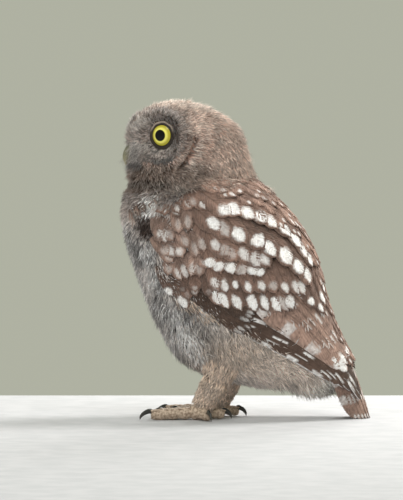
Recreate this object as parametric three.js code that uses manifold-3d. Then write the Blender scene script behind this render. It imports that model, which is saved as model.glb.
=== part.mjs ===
// A fledgling little owl standing on level ground, life size, in millimetres.
// +Z is up, the bird faces -X and its left side is towards -Y. The floor is Z = 0.
// Places are given from a line about a millimetre and a half in front of the middle of the whole owl.
import * as THREE from "three";
import { mergeVertices } from "three/addons/utils/BufferGeometryUtils.js";
import Module from "manifold-3d";

const wasm = await Module();
wasm.setup();

const rad = THREE.MathUtils.degToRad;
const lerp = THREE.MathUtils.lerp;

// Driving sizes
const GAP = 0.3; // between neighbouring solids
const NECK_X = -34; // the head turns about this upright line
const HEAD_TURN = rad(15); // towards the bird's left
const HEAD_LEVEL = 160; // height of the head's centre

// The body from crown to vent as a row of hoops. front and back are [x, z] where a hoop crosses the
// mid-plane, half is its half width, and blunt is how full its front and back halves are (2 is round).
const HOOPS = [
  { front: [-45.5, 191.2], back: [-32, 191.8], half: 7, blunt: [2, 2] },
  { front: [-57.5, 187.5], back: [-20.5, 189], half: 17.5, blunt: [2, 2] },
  { front: [-66, 180.5], back: [-9.5, 181], half: 26.5, blunt: [1.9, 2.1] },
  { front: [-70.5, 170], back: [-1.5, 171], half: 31.5, blunt: [1.6, 2.2] },
  { front: [-69.5, 159], back: [2, 160], half: 33, blunt: [1.6, 2.2] },
  { front: [-70, 149.5], back: [4.5, 150.5], half: 32.5, blunt: [1.8, 2.2] },
  { front: [-70.5, 140.5], back: [8, 142.5], half: 31, blunt: [2.1, 2.2] },
  { front: [-73, 132.5], back: [15, 135], half: 33, blunt: [2.2, 2.2] },
  { front: [-73.5, 121], back: [26.5, 125], half: 37, blunt: [2.2, 2.2] },
  { front: [-71, 106.5], back: [35.5, 110], half: 39, blunt: [2.2, 2.2] },
  { front: [-65.5, 89.5], back: [41, 92], half: 39, blunt: [2.2, 2.2] },
  { front: [-58.5, 71], back: [46, 74], half: 37.5, blunt: [2.2, 2.2] },
  { front: [-49.5, 51], back: [50, 60], half: 34.5, blunt: [2.1, 2.2] },
  { front: [-35, 32], back: [53, 51.5], half: 30, blunt: [2.1, 2.2] },
  { front: [-4, 21.5], back: [55, 46.5], half: 25, blunt: [2.1, 2.2] },
  { front: [22, 20], back: [57, 42.5], half: 20, blunt: [2, 2.2] },
  { front: [41, 15.5], back: [59, 38.5], half: 14, blunt: [2, 2.2] },
  { front: [50, 19], back: [60, 34], half: 8.5, blunt: [2, 2] },
];
const HEAD_END = 6; // the hoop where the head stops and the neck begins
const NECK_END = 7.6; // where the neck stops and the torso begins
const HOOP_GAP = 0.045; // in hoops, at least GAP apart at the neck
const BODY_SIDES = 30;
const HEAD_RINGS = 13;
const NECK_RINGS = 5;
const TORSO_RINGS = 19;

// The cloak is the smooth surface that the folded wings and tail lie on. It is a row of half ellipses square
// to a sloping axis, one each 20 mm. back, middle and front are distances from the axis towards the back.
const CLOAK_START = [-38, 128]; // where the axis begins, at the shoulders
const CLOAK_SLOPE = rad(50); // below the horizontal
const CLOAK_FIRST = -20;
const CLOAK_STEP = 20;
const SMALL_STEP = 0.5; // along it in mm and round it in degrees, for its slope at a place
const CLOAK_BACK = [22, 36, 43.6, 46.2, 45.3, 39.8, 30.6, 23.6, 18.8, 11, 2.5];
const CLOAK_MIDDLE = [0, 2, 3, 3, 3.5, 4, 5, 5, 3.5, -1, -7];
const CLOAK_SIDE = [26, 35, 40, 42, 41, 37.5, 31.5, 25.5, 19.5, 14.5, 12];
const CLOAK_FRONT = [55, 60, 62, 62, 62, 60, 56, 48, 36, 22, 16];

// The wing's body along the cloak: its least and greatest angle, and how far under the cloak its outer and
// inner faces lie. It sinks under the neck at its start and under the vanes everywhere.
const WING_SPAN = [
  { s: 3, from: 58, to: 108, outer: 2.4, inner: 4.2 },
  { s: 16, from: 36, to: 122, outer: 1.2, inner: 4.6 },
  { s: 35, from: 22, to: 128, outer: 0.9, inner: 4.4 },
  { s: 58, from: 14, to: 120, outer: 0.9, inner: 4 },
  { s: 80, from: 10, to: 112, outer: 0.9, inner: 3.2 },
  { s: 102, from: 8, to: 107, outer: 0.9, inner: 2.4 },
  { s: 120, from: 10, to: 101, outer: 0.9, inner: 2 },
  { s: 134, from: 20, to: 92, outer: 0.9, inner: 1.8 },
];
const WING_ROWS = 11;
const WING_COLUMNS = [0, 0.06, 0.2, 0.4, 0.6, 0.8, 0.94, 1];
const WING_ROUNDING = [0.6, 0.2]; // how far the outer face drops at the edge and beside it, in thicknesses
const OUTWARDS = 8; // how far the room for a wing reaches out of the body

// Vanes of a folded wing, tier over tier, the last on top. Roots and tips are [s, angle] of a tier's first,
// middle and last vane. breadth, top and bottom are given at the root and at the tip: how wide a vane is
// there, and how far its faces stand out of the cloak.
const WING_TIERS = {
  primaries: {
    roots: [[57, 121], [55, 116], [53, 112]],
    tips: [[133, 98], [147, 77], [155, 40]],
    count: 5, breadth: [5.5, 4.8], top: [-1.1, 0.1], bottom: [-1.9, -1], long: true,
  },
  secondaries: {
    roots: [[51, 111], [64, 84], [68, 38]],
    tips: [[133, 88], [139, 62], [135, 20]],
    count: 5, breadth: [16, 8], top: [-1.1, 0.6], bottom: [-1.9, -0.9], long: true,
  },
  primaryCoverts: {
    roots: [[38, 121], [38, 116], [39, 110]],
    tips: [[79, 112], [78, 106], [75, 102]],
    count: 3, breadth: [7, 6.5], top: [-1.1, 0.5], bottom: [-2.2, -2.2],
  },
  alula: {
    roots: [[21, 123], [21, 118], [21, 113]],
    tips: [[48, 124], [49, 119], [50, 114]],
    count: 3, breadth: [7, 6.5], top: [-1.1, 0.6], bottom: [-2.2, -1.5],
  },
  greaterCoverts: {
    roots: [[32, 106], [53, 91], [66, 72]],
    tips: [[54, 115], [75, 101], [89, 76]],
    count: 6, breadth: [9, 10.5], top: [-1.1, 0.7], bottom: [-2.2, -2.2],
  },
  medianCoverts: {
    roots: [[20, 99], [40, 80], [66, 58]],
    tips: [[39, 104], [60, 87], [86, 60]],
    count: 6, breadth: [11, 11.5], top: [-1.1, 0.8], bottom: [-2.2, -2.2],
  },
  lesserCoverts: {
    roots: [[13, 117], [18, 110], [24, 103]],
    tips: [[30, 123], [36, 116], [43, 109]],
    count: 3, breadth: [10.5, 10.5], top: [-1.1, 0.6], bottom: [-2.2, -2.2],
  },
  shoulderCoverts: {
    roots: [[2, 106], [4, 99], [9, 93]],
    tips: [[14, 115], [20, 108], [29, 100]],
    count: 3, breadth: [11, 12], top: [-1.1, 0.7], bottom: [-2.2, -2.2],
  },
  lowerScapulars: {
    roots: [[7, 81], [36, 52], [74, 20]],
    tips: [[27, 92], [58, 62], [98, 20]],
    count: 6, breadth: [13, 14.5], top: [-1.1, 1], bottom: [-2.2, -2.2],
  },
  upperScapulars: {
    roots: [[7, 78], [28, 43], [52, 18]],
    tips: [[18, 86], [43, 50], [73, 20]],
    count: 6, breadth: [12, 14], top: [-1.6, 1.1], bottom: [-3, -2.2],
  },
};
const SIDE_TILT = 0.35; // a vane's lower edge lies this far out and its upper edge this far in
const BREADTH_VARIES = 0.06;
const LENGTH_VARIES = 0.03;
// Shares of a vane's length and of its breadth there
const SHORT_VANE = [[0, 0.8], [0.6, 1], [1, 0.55]];
const LONG_VANE = [[0, 0.9], [0.5, 1], [0.88, 0.9], [1, 0.5]];

// The tail's vanes lie on the same surface, five each side of the middle, and run down to the floor.
// angle is [root, tip], and sunk how far under the cloak the root and the tip lie.
const TAIL_VANES = [
  { angle: [66, 103], sunk: [5.6, 1.4] },
  { angle: [50, 80], sunk: [5.2, 1.1] },
  { angle: [34, 56], sunk: [4.8, 0.8] },
  { angle: [19, 32], sunk: [4.4, 0.5] },
  { angle: [6, 10], sunk: [4, 0.2] },
];
const TAIL_ROOT = 118;
const TAIL_BREADTH = [6.5, 8.4];
const TAIL_THICK = [2.4, 1];
const TAIL_ROWS = 8;
const TAIL_COLUMNS = 10;

// The tail's body, under its vanes
const TAIL_SPAN = [
  { s: 116, angle: 66, sunk: 5.8, thick: 3 },
  { s: 128, angle: 76, sunk: 5, thick: 2.6 },
  { s: 140, angle: 88, sunk: 3.9, thick: 2 },
  { s: 152, angle: 96, sunk: 2.8, thick: 1.4 },
];

// Eyes, in the head's own frame: forward, outward and up from the head's centre
const EYE_RADIUS = 8.5;
const EYE_FRONT = { forward: 22.6, outward: 18.5, up: 9.8 };
const EYE_ASIDE = rad(44); // the eye's opening looks this far from straight ahead
const LID_ANGLE = rad(50); // half of the opening, seen from the eye's centre
const LID_THICK = 1.2;
const LID_SETBACK = 0.4; // how far the lid's ring lies behind the opening's edge
const DISC_RADIUS = 25; // the dish of the facial disc round each eye
const DISC_DEPTH = 0.6; // how far the dish reaches behind the opening's edge

// Bill, in the head's own frame: [forward, up] from the head's centre
const UPPER_BILL = {
  path: [[27, 3.2], [33.6, 1.8], [38, -2], [38.6, -7.4]],
  depths: [4.8, 4.2, 2.7, 0.3],
  widths: [4.4, 3.8, 2.5, 0.3],
  rings: 8,
};
const LOWER_BILL = {
  path: [[27, -3.2], [33, -4.4], [36.4, -6.2]],
  depths: [3, 2.4, 0.5],
  widths: [3.8, 3, 0.8],
  rings: 5,
};
const BILL_SIDES = 10;
const NOSTRIL = { forward: 35.2, outward: 3, up: 2.8, radius: 0.8 };

// The fold of each ear, as [place along the hoops, angle from the back] on the side of the head
const EAR_FOLD = [[2.95, 99], [3.4, 92], [3.9, 88.5], [4.4, 90.5], [4.85, 97]];
const EAR_THICK = [0.6, 1.9, 2.3, 1.9, 0.6];

// Legs: paths are [x, outward, z] for the left one, which stands this far from the mid-plane
const LEG_ASIDE = 17;
const RIGHT_LEG_BACK = 9; // the right foot stands this far behind the left
const THIGH = {
  path: [[-6, -3, 54], [-11, 0, 39], [-16.5, 0, 25.5]],
  depths: [14, 13, 8.6],
  widths: [10, 9.5, 6.8],
  rings: 7,
  sides: 14,
};
const SHANK = {
  path: [[-16.7, 0, 24.9], [-21, 0, 16], [-25.4, 0, 7.6]],
  depths: [8, 7, 6.2],
  widths: [6.2, 5.4, 5],
  rings: 5,
  sides: 12,
};
const FOOT_AT = [-27, 4.6]; // [x, z]
const FOOT_RADII = [7.2, 6.4, 5.2];
// Each toe leaves the foot at a heading, in degrees from straight ahead and outwards
const TOES = [
  { heading: -166, length: 11, size: 2.9, claw: 7 },
  { heading: -23, length: 21, size: 3.2, claw: 9 },
  { heading: 7, length: 25, size: 3.3, claw: 9.5 },
  { heading: 108, length: 13, size: 3, claw: 8 },
];
const TOE_FROM = 3; // both measured from the foot's middle
const TOE_BEYOND = 4;
const TOE_LEVELS = [3.9, 3.4, 3.1]; // height of its middle line
const TOE_PADS = [1.1, 0.99, 1.1, 0.94, 1.08, 0.93, 0.74]; // half thickness, in sizes
const CLAW_LEVELS = [4.3, 5.45, 0.25]; // at its root, at the top of its arc and at its tip
const CLAW_REACH = 0.82; // how far forward its arc goes, in claw lengths
const CLAW_DEPTHS = [1.5, 1.45, 1.2, 0.8, 0.2];
const CLAW_WIDTHS = [1.2, 1.1, 0.9, 0.6, 0.2];

const X = new THREE.Vector3(1, 0, 0);
const Y = new THREE.Vector3(0, 1, 0);
const Z = new THREE.Vector3(0, 0, 1);

// Solids and meshes

function solidOf(geometry) {
  const merged = mergeVertices(geometry.clone().deleteAttribute("normal").deleteAttribute("uv"), 1e-4);
  const mesh = (triVerts) =>
    new wasm.Mesh({ numProp: 3, vertProperties: merged.attributes.position.array, triVerts });
  const triangles = new Uint32Array(merged.index.array);
  const solid = new wasm.Manifold(mesh(triangles));
  return solid.volume() > 0 ? solid : new wasm.Manifold(mesh(triangles.reverse()));
}

function geometryOf(solid) {
  const { numProp, vertProperties, triVerts } = solid.getMesh();
  const count = vertProperties.length / numProp;
  const positions = new Float32Array(count * 3);
  for (let i = 0; i < count; i++) {
    positions.set(vertProperties.subarray(i * numProp, i * numProp + 3), i * 3);
  }
  const geometry = new THREE.BufferGeometry();
  geometry.setAttribute("position", new THREE.BufferAttribute(positions, 3));
  geometry.setIndex(new THREE.BufferAttribute(new Uint32Array(triVerts), 1));
  geometry.computeVertexNormals();
  return geometry;
}

// Keeps the largest closed surface, so that a sealed hollow is filled and a loose scrap is dropped
function oneBody(solid) {
  return solid.decompose().reduce((a, b) => (a.volume() > b.volume() ? a : b));
}

function union(solids) {
  return solids.reduce((a, b) => a.add(b));
}

// A closed solid from rings of points, each end closed by a fan
function ringsSolid(rings) {
  const sides = rings[0].length;
  const middle = (ring) =>
    ring.reduce((sum, p) => sum.add(p), new THREE.Vector3()).divideScalar(sides);
  const points = [...rings.flat(), middle(rings[0]), middle(rings.at(-1))];
  const index = [];
  const lastRing = (rings.length - 1) * sides;
  for (let j = 0; j < sides; j++) {
    const k = (j + 1) % sides;
    for (let i = 0; i < lastRing; i += sides) {
      index.push(i + j, i + k, i + sides + k, i + j, i + sides + k, i + sides + j);
    }
    index.push(points.length - 2, k, j);
    index.push(points.length - 1, lastRing + j, lastRing + k);
  }
  return solidOf(new THREE.BufferGeometry().setFromPoints(points).setIndex(index));
}

// A closed plate between two grids of points, split into triangles alike on both faces
function plateSolid(top, bottom) {
  const rows = top.length;
  const columns = top[0].length;
  const points = [...top.flat(), ...bottom.flat()];
  const under = rows * columns;
  const at = (i, j) => i * columns + j;
  const index = [];
  for (let i = 0; i + 1 < rows; i++) {
    for (let j = 0; j + 1 < columns; j++) {
      const [a, b, c, d] = [at(i, j), at(i, j + 1), at(i + 1, j), at(i + 1, j + 1)];
      index.push(a, b, d, a, d, c);
      index.push(under + a, under + d, under + b, under + a, under + c, under + d);
    }
  }
  const rim = [];
  for (let j = 0; j < columns - 1; j++) rim.push(at(0, j));
  for (let i = 0; i < rows - 1; i++) rim.push(at(i, columns - 1));
  for (let j = columns - 1; j > 0; j--) rim.push(at(rows - 1, j));
  for (let i = rows - 1; i > 0; i--) rim.push(at(i, 0));
  rim.forEach((a, n) => {
    const b = rim[(n + 1) % rim.length];
    index.push(a, under + a, under + b, a, under + b, b);
  });
  return solidOf(new THREE.BufferGeometry().setFromPoints(points).setIndex(index));
}

// A smooth curve through a list of values, read at a place counted in entries
function along(list, place) {
  const curve = new THREE.SplineCurve(list.map((v) => new THREE.Vector2(v, 0)));
  return curve.getPoint(THREE.MathUtils.clamp(place / (list.length - 1), 0, 1)).x;
}

// All values of a span's rows at a share of the way from its first row to its last
function spanAt(span, share) {
  const keys = Object.keys(span[0]);
  const values = (key) => span.map((row) => row[key]);
  return Object.fromEntries(keys.map((key) => [key, along(values(key), share * (span.length - 1))]));
}

// Body

const hoopParts = {
  frontX: HOOPS.map((h) => h.front[0]),
  frontZ: HOOPS.map((h) => h.front[1]),
  backX: HOOPS.map((h) => h.back[0]),
  backZ: HOOPS.map((h) => h.back[1]),
  half: HOOPS.map((h) => h.half),
  bluntFront: HOOPS.map((h) => h.blunt[0]),
  bluntBack: HOOPS.map((h) => h.blunt[1]),
};

// A point of the body at a place along the hoops and an angle round from the back, moved out by grow
function bodyPoint(place, angle, grow = 0) {
  const h = Object.fromEntries(Object.entries(hoopParts).map(([k, list]) => [k, along(list, place)]));
  const front = new THREE.Vector3(h.frontX, 0, h.frontZ);
  const back = new THREE.Vector3(h.backX, 0, h.backZ);
  const reach = back.distanceTo(front) / 2 + grow;
  const outward = back.clone().sub(front).normalize();
  const c = Math.cos(angle);
  const s = Math.sin(angle);
  const power = 2 / (c > 0 ? h.bluntBack : h.bluntFront);
  return front
    .add(back)
    .divideScalar(2)
    .addScaledVector(outward, Math.sign(c) * Math.abs(c) ** power * reach)
    .addScaledVector(Y, Math.sign(s) * Math.abs(s) ** power * (h.half + grow));
}

// The neck takes up the head's turn
function neckTurn(place) {
  return HEAD_TURN * (1 - THREE.MathUtils.smoothstep(place, HEAD_END, NECK_END + 1));
}

function turned(point, angle) {
  const pivot = new THREE.Vector3(NECK_X, 0, 0);
  return point.sub(pivot).applyAxisAngle(Z, angle).add(pivot);
}

function bodySolid(from, to, rings, grow = 0) {
  const made = [];
  for (let i = 0; i < rings; i++) {
    const place = lerp(from, to, i / (rings - 1));
    const ring = [];
    for (let j = 0; j < BODY_SIDES; j++) {
      const point = bodyPoint(place, (2 * Math.PI * j) / BODY_SIDES, grow);
      ring.push(turned(point, neckTurn(place)));
    }
    made.push(ring);
  }
  return ringsSolid(made);
}

// Cloak

const cloakAxis = new THREE.Vector3(Math.cos(CLOAK_SLOPE), 0, -Math.sin(CLOAK_SLOPE));
const cloakOut = new THREE.Vector3(Math.sin(CLOAK_SLOPE), 0, Math.cos(CLOAK_SLOPE));

function cloakAt(s) {
  const place = (s - CLOAK_FIRST) / CLOAK_STEP;
  const middle = along(CLOAK_MIDDLE, place);
  return {
    middle,
    back: along(CLOAK_BACK, place) - middle,
    side: along(CLOAK_SIDE, place),
    front: along(CLOAK_FRONT, place),
  };
}

// A point of the left side's cloak: s along the axis, angle round from the back, in degrees
function cloakSkin(s, angle) {
  const at = cloakAt(s);
  const c = Math.cos(rad(angle));
  return new THREE.Vector3(CLOAK_START[0], 0, CLOAK_START[1])
    .addScaledVector(cloakAxis, s)
    .addScaledVector(cloakOut, at.middle + c * (c > 0 ? at.back : at.front))
    .addScaledVector(Y, -Math.sin(rad(angle)) * at.side);
}

function cloakNormal(s, angle) {
  const step = SMALL_STEP;
  const down = cloakSkin(s + step, angle).sub(cloakSkin(s - step, angle));
  const round = cloakSkin(s, angle + step).sub(cloakSkin(s, angle - step));
  return round.cross(down).normalize();
}

function cloakPoint(s, angle, lift) {
  return cloakSkin(s, angle).addScaledVector(cloakNormal(s, angle), lift);
}

// Wing

// The wing's body, or the room that it takes up in the body with a margin, which is open outwards
function wingBody(margin = 0, room = margin > 0) {
  const lastColumn = WING_COLUMNS.length - 1;
  const grid = (lift) => {
    const rows = [];
    for (let i = 0; i <= WING_ROWS; i++) {
      const share = i / WING_ROWS;
      const at = spanAt(WING_SPAN, share);
      const s = at.s + lerp(-margin, margin, share);
      const edge = THREE.MathUtils.radToDeg(margin / cloakAt(s).side);
      const atEnd = Math.min(i, WING_ROWS - i);
      rows.push(
        WING_COLUMNS.map((column, j) => {
          const fromEdge = Math.min(j, lastColumn - j, atEnd);
          return cloakPoint(s, lerp(at.from - edge, at.to + edge, column), lift(at, fromEdge));
        }),
      );
    }
    return rows;
  };
  const outer = (at, fromEdge) =>
    room ? OUTWARDS : -at.outer - (WING_ROUNDING[fromEdge] ?? 0) * (at.inner - at.outer);
  return plateSolid(grid(outer), grid((at) => -at.inner - margin));
}

// Vanes

// The change of [s, angle] that moves a place on the cloak along a direction in its surface
function cloakShift(s, angle, direction) {
  const step = SMALL_STEP;
  const down = cloakSkin(s + step, angle).sub(cloakSkin(s - step, angle)).divideScalar(2 * step);
  const round = cloakSkin(s, angle + step).sub(cloakSkin(s, angle - step)).divideScalar(2 * step);
  return [direction.dot(down) / down.lengthSq(), direction.dot(round) / round.lengthSq()];
}

// A tapered plate that lies along the cloak from its root to its tip
function vane({ root, tip, breadth, top, bottom, long }) {
  const faces = [top, bottom].map(() => []);
  const at = (share) => [lerp(root[0], tip[0], share), lerp(root[1], tip[1], share)];
  for (const [share, wide] of long ? LONG_VANE : SHORT_VANE) {
    const [s, angle] = at(share);
    const ahead = cloakSkin(...at(share + 0.05)).sub(cloakSkin(...at(share - 0.05))).normalize();
    const across = cloakNormal(s, angle).cross(ahead).normalize();
    const half = (wide * lerp(breadth[0], breadth[1], share)) / 2;
    const places = [-1, 1].map((side) => {
      const [ds, dAngle] = cloakShift(s, angle, across.clone().multiplyScalar(side * half));
      return [s + ds, angle + dAngle, side * SIDE_TILT];
    });
    [top, bottom].forEach(([atRoot, atTip], k) => {
      const lift = lerp(atRoot, atTip, share);
      faces[k].push(places.map(([edgeS, edgeAngle, rise]) => cloakPoint(edgeS, edgeAngle, lift + rise)));
    });
  }
  return plateSolid(...faces);
}

// A tier's vanes, each between the guides for its first, middle and last one
function tierSolids({ roots, tips, count, breadth, ...rest }) {
  const guides = [roots, tips];
  const between = (guide, place) => [0, 1].map((k) => along(guide.map((end) => end[k]), place));
  const varied = (range) => 1 + range * (2 * THREE.MathUtils.seededRandom() - 1);
  const made = [];
  for (let i = 0; i < count; i++) {
    const [root, tip] = guides.map((guide) => between(guide, (2 * i) / (count - 1)));
    const length = varied(LENGTH_VARIES);
    const wider = varied(BREADTH_VARIES);
    const end = [0, 1].map((k) => lerp(root[k], tip[k], length));
    made.push(vane({ root, tip: end, breadth: breadth.map((b) => b * wider), ...rest }));
  }
  return made;
}

function featheredWing() {
  THREE.MathUtils.seededRandom(7);
  const vanes = union(Object.values(WING_TIERS).flatMap(tierSolids));
  const torsoNear = bodyCut.subtract(wingBody(0, true));
  return wingBody().add(vanes).subtract(torsoNear).trimByPlane([0, -1, 0], GAP / 2);
}

// Tail

function tailBody() {
  const grid = (deeper) => {
    const made = [];
    for (let i = 0; i <= TAIL_ROWS; i++) {
      const at = spanAt(TAIL_SPAN, i / TAIL_ROWS);
      const row = [];
      for (let j = 0; j <= TAIL_COLUMNS; j++) {
        const angle = lerp(-at.angle, at.angle, j / TAIL_COLUMNS);
        const point = cloakPoint(at.s, Math.abs(angle), -at.sunk - (deeper ? at.thick : 0));
        row.push(angle < 0 ? point.setY(-point.y) : point);
      }
      made.push(row);
    }
    return made;
  };
  return plateSolid(grid(false), grid(true));
}

function tailVanes() {
  const floorAt = (angle) => {
    let s = TAIL_ROOT;
    while (cloakPoint(s, angle, 0).z > 0) s += 0.5;
    return s;
  };
  return TAIL_VANES.map(({ angle, sunk }) =>
    vane({
      root: [TAIL_ROOT, angle[0]],
      tip: [floorAt(angle[1]) + 1, angle[1]],
      breadth: TAIL_BREADTH,
      top: sunk.map((depth) => -depth),
      bottom: sunk.map((depth, k) => -depth - TAIL_THICK[k]),
      long: true,
    }),
  );
}

// Legs

// A tube of oval sections along points. across is the direction of its half widths.
function limb({ points, depths, widths, across, rings, sides, grow = 0 }) {
  const curve = new THREE.CatmullRomCurve3(points);
  const made = [];
  for (let i = 0; i < rings; i++) {
    const share = i / (rings - 1);
    const tangent = curve.getTangent(share);
    const up = tangent.clone().cross(across).normalize();
    const end = i === 0 ? -grow : i === rings - 1 ? grow : 0;
    const middle = curve.getPoint(share).addScaledVector(tangent, end);
    const depth = along(depths, share * (depths.length - 1)) + grow;
    const width = along(widths, share * (widths.length - 1)) + grow;
    const ring = [];
    for (let j = 0; j < sides; j++) {
      const angle = (2 * Math.PI * (j + 0.5)) / sides;
      ring.push(
        middle
          .clone()
          .addScaledVector(across, width * Math.cos(angle))
          .addScaledVector(up, depth * Math.sin(angle)),
      );
    }
    made.push(ring);
  }
  return ringsSolid(made);
}

const onFloor = (solid) => solid.trimByPlane([0, 0, 1], 0);

function legSolids(side) {
  const back = side > 0 ? RIGHT_LEG_BACK : 0;
  const aside = side * LEG_ASIDE;
  const at = ([x, out, z]) => new THREE.Vector3(x + back, aside + side * out, z);
  const ofLeg = ({ path, ...sizes }) => ({ points: path.map(at), across: Y, ...sizes });
  const [footX, footZ] = FOOT_AT;
  const ball = (grow) => {
    const radii = FOOT_RADII.map((radius) => radius + grow);
    return solidOf(new THREE.SphereGeometry(1, 10, 7).scale(...radii).translate(...at([footX, 0, footZ])));
  };
  const shankCut = limb({ ...ofLeg(SHANK), grow: GAP });
  const made = {
    thigh: oneBody(limb(ofLeg(THIGH)).subtract(shankCut)),
    shank: limb(ofLeg(SHANK)),
    foot: oneBody(onFloor(ball(0).subtract(shankCut))),
  };
  let taken = union([ball(GAP), shankCut]);
  TOES.forEach(({ heading, length, size, claw }, i) => {
    const forward = new THREE.Vector3(-Math.cos(rad(heading)), side * Math.sin(rad(heading)), 0);
    const across = Z.clone().cross(forward).normalize();
    const place = (far, z) => at([footX, 0, 0]).addScaledVector(forward, far).setZ(z);
    const end = TOE_BEYOND + length;
    const thick = TOE_PADS.map((pad) => pad * size);
    const toe = {
      points: TOE_LEVELS.map((z, k) => place(lerp(TOE_FROM, end, k / 2), z)),
      depths: thick,
      widths: thick,
      across,
      rings: 7,
      sides: 7,
    };
    made["toe_" + (i + 1)] = oneBody(onFloor(limb(toe).subtract(taken)));
    const toeCut = limb({ ...toe, grow: GAP });
    taken = taken.add(toeCut);
    const [rootZ, topZ, tipZ] = CLAW_LEVELS;
    const arc = (share) => {
      const turn = (share * Math.PI) / 2;
      return place(end - 1 + CLAW_REACH * claw * Math.sin(turn), tipZ + (topZ - tipZ) * Math.cos(turn));
    };
    const horn = {
      points: [place(end - 1.6, rootZ), arc(0.2), arc(0.5), arc(0.8), arc(1)],
      depths: CLAW_DEPTHS,
      widths: CLAW_WIDTHS,
      across,
      rings: 5,
      sides: 5,
    };
    made["claw_" + (i + 1)] = oneBody(onFloor(limb(horn)).subtract(toeCut));
  });
  return made;
}

// Head

// A place in the head's own frame, before the head is turned
function inHead(forward, outward, up, side) {
  return new THREE.Vector3(-forward, side * outward, HEAD_LEVEL + up);
}

function eyeFrame(side) {
  const axis = new THREE.Vector3(-Math.cos(EYE_ASIDE), side * Math.sin(EYE_ASIDE), 0);
  const front = inHead(EYE_FRONT.forward, EYE_FRONT.outward, EYE_FRONT.up, side);
  return { axis, centre: front.addScaledVector(axis, -EYE_RADIUS) };
}

function eyeball(side, grow) {
  const { centre } = eyeFrame(side);
  return solidOf(new THREE.SphereGeometry(EYE_RADIUS + grow, 14, 9).translate(...centre));
}

function roundEye(geometry, side, out) {
  const { axis, centre } = eyeFrame(side);
  const turn = new THREE.Quaternion().setFromUnitVectors(Z, axis);
  return solidOf(geometry.applyQuaternion(turn).translate(...centre.addScaledVector(axis, out)));
}

// The head's outer form in the head's own frame
function headForm(grow) {
  const degrees = THREE.MathUtils.radToDeg(HEAD_TURN);
  return bodySolid(0, HEAD_END, HEAD_RINGS, grow).translate([-NECK_X, 0, 0]).rotate([0, 0, -degrees]);
}

function headSolid() {
  let head = headForm(0);
  const rim = EYE_RADIUS * Math.cos(LID_ANGLE);
  const opening = EYE_RADIUS * Math.sin(LID_ANGLE);
  for (const side of [-1, 1]) {
    const dish = new THREE.SphereGeometry(DISC_RADIUS, 24, 16);
    head = head.subtract(roundEye(dish, side, rim + DISC_RADIUS - DISC_DEPTH));
    const lids = new THREE.TorusGeometry(opening + 1, LID_THICK, 6, 18);
    head = head.add(roundEye(lids, side, rim - LID_SETBACK));
    head = head.subtract(eyeball(side, GAP));
  }
  return oneBody(head);
}

function billSolids() {
  const ofBill = ({ path, ...sizes }) => ({
    points: path.map(([forward, up]) => inHead(forward, 0, up, 1)),
    across: Y,
    sides: BILL_SIDES,
    ...sizes,
  });
  const { forward, outward, up, radius } = NOSTRIL;
  const nostril = (side) =>
    solidOf(new THREE.SphereGeometry(radius, 8, 6).translate(...inHead(forward, outward, up, side)));
  const faceCut = headForm(GAP);
  const upperCut = union([faceCut, nostril(-1), nostril(1)]);
  const lowerCut = faceCut.add(limb({ ...ofBill(UPPER_BILL), grow: GAP }));
  return {
    bill_upper: oneBody(limb(ofBill(UPPER_BILL)).subtract(upperCut)),
    bill_lower: oneBody(limb(ofBill(LOWER_BILL)).subtract(lowerCut)),
  };
}

function earSolid(side) {
  const points = EAR_FOLD.map(([hoop, angle]) => {
    const point = bodyPoint(hoop, side * rad(angle), 0.2);
    return point.setX(point.x - NECK_X);
  });
  const crescent = limb({ points, depths: EAR_THICK, widths: EAR_THICK, across: X, rings: 8, sides: 7 });
  return oneBody(crescent.subtract(headForm(GAP)));
}

// Materials

function finish(colour, roughness) {
  return new THREE.MeshStandardMaterial({ color: colour, roughness, metalness: 0 });
}

const brown = finish(0x7a6656, 0.9);
const pale = finish(0xb5aaa0, 0.95);
const buff = finish(0x9a8877, 0.95);
const horn = finish(0x2a2522, 0.45);
const bill = finish(0x8b8a66, 0.5);
const yellow = finish(0xe6dc3c, 0.1);

// Assembly

const owl = new THREE.Group();
const headGroup = new THREE.Group();
headGroup.position.x = NECK_X;
headGroup.rotation.z = HEAD_TURN;
owl.add(headGroup);

function place(group, name, solid, material) {
  const mesh = new THREE.Mesh(geometryOf(solid), material);
  mesh.name = name;
  group.add(mesh);
}

const sides = { left: -1, right: 1 };
const mirrored = (solid, side) => (side < 0 ? solid : solid.mirror([0, 1, 0]));

const headCut = bodySolid(0, NECK_END, HEAD_RINGS + NECK_RINGS, GAP);
const lastHoop = HOOPS.length - 1;
const bodyCut = bodySolid(NECK_END, lastHoop, TORSO_RINGS, GAP);
const wing = featheredWing();
const wingRoom = wingBody(GAP);
const legs = { left: legSolids(-1), right: legSolids(1) };

let torso = bodySolid(NECK_END + HOOP_GAP, lastHoop, TORSO_RINGS);
for (const side of Object.values(sides)) torso = torso.subtract(mirrored(wingRoom, side));
torso = oneBody(torso);

place(headGroup, "head", headSolid(), brown);
for (const [name, solid] of Object.entries(billSolids())) place(headGroup, name, solid, bill);
place(owl, "neck", bodySolid(HEAD_END + HOOP_GAP, NECK_END, NECK_RINGS), brown);
place(owl, "torso", torso, pale);
const halfTail = union(tailVanes());
let tail = tailBody().add(halfTail).add(mirrored(halfTail, 1)).subtract(bodyCut);
for (const side of Object.values(sides)) tail = tail.subtract(mirrored(wingRoom, side));
place(owl, "tail", oneBody(onFloor(tail)), brown);
for (const [name, side] of Object.entries(sides)) {
  place(headGroup, "eye_" + name, eyeball(side, 0), yellow);
  place(headGroup, "ear_" + name, earSolid(side), brown);
  place(owl, "wing_" + name, oneBody(mirrored(wing, side).subtract(headCut)), brown);
  for (const [part, solid] of Object.entries(legs[name])) {
    const [kind, number] = part.split("_");
    const reachesBody = kind === "thigh" || kind === "shank";
    const whole = reachesBody ? oneBody(solid.subtract(bodyCut)) : solid;
    const material = kind === "claw" ? horn : buff;
    place(owl, [kind, name, number].filter(Boolean).join("_"), whole, material);
  }
}

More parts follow.
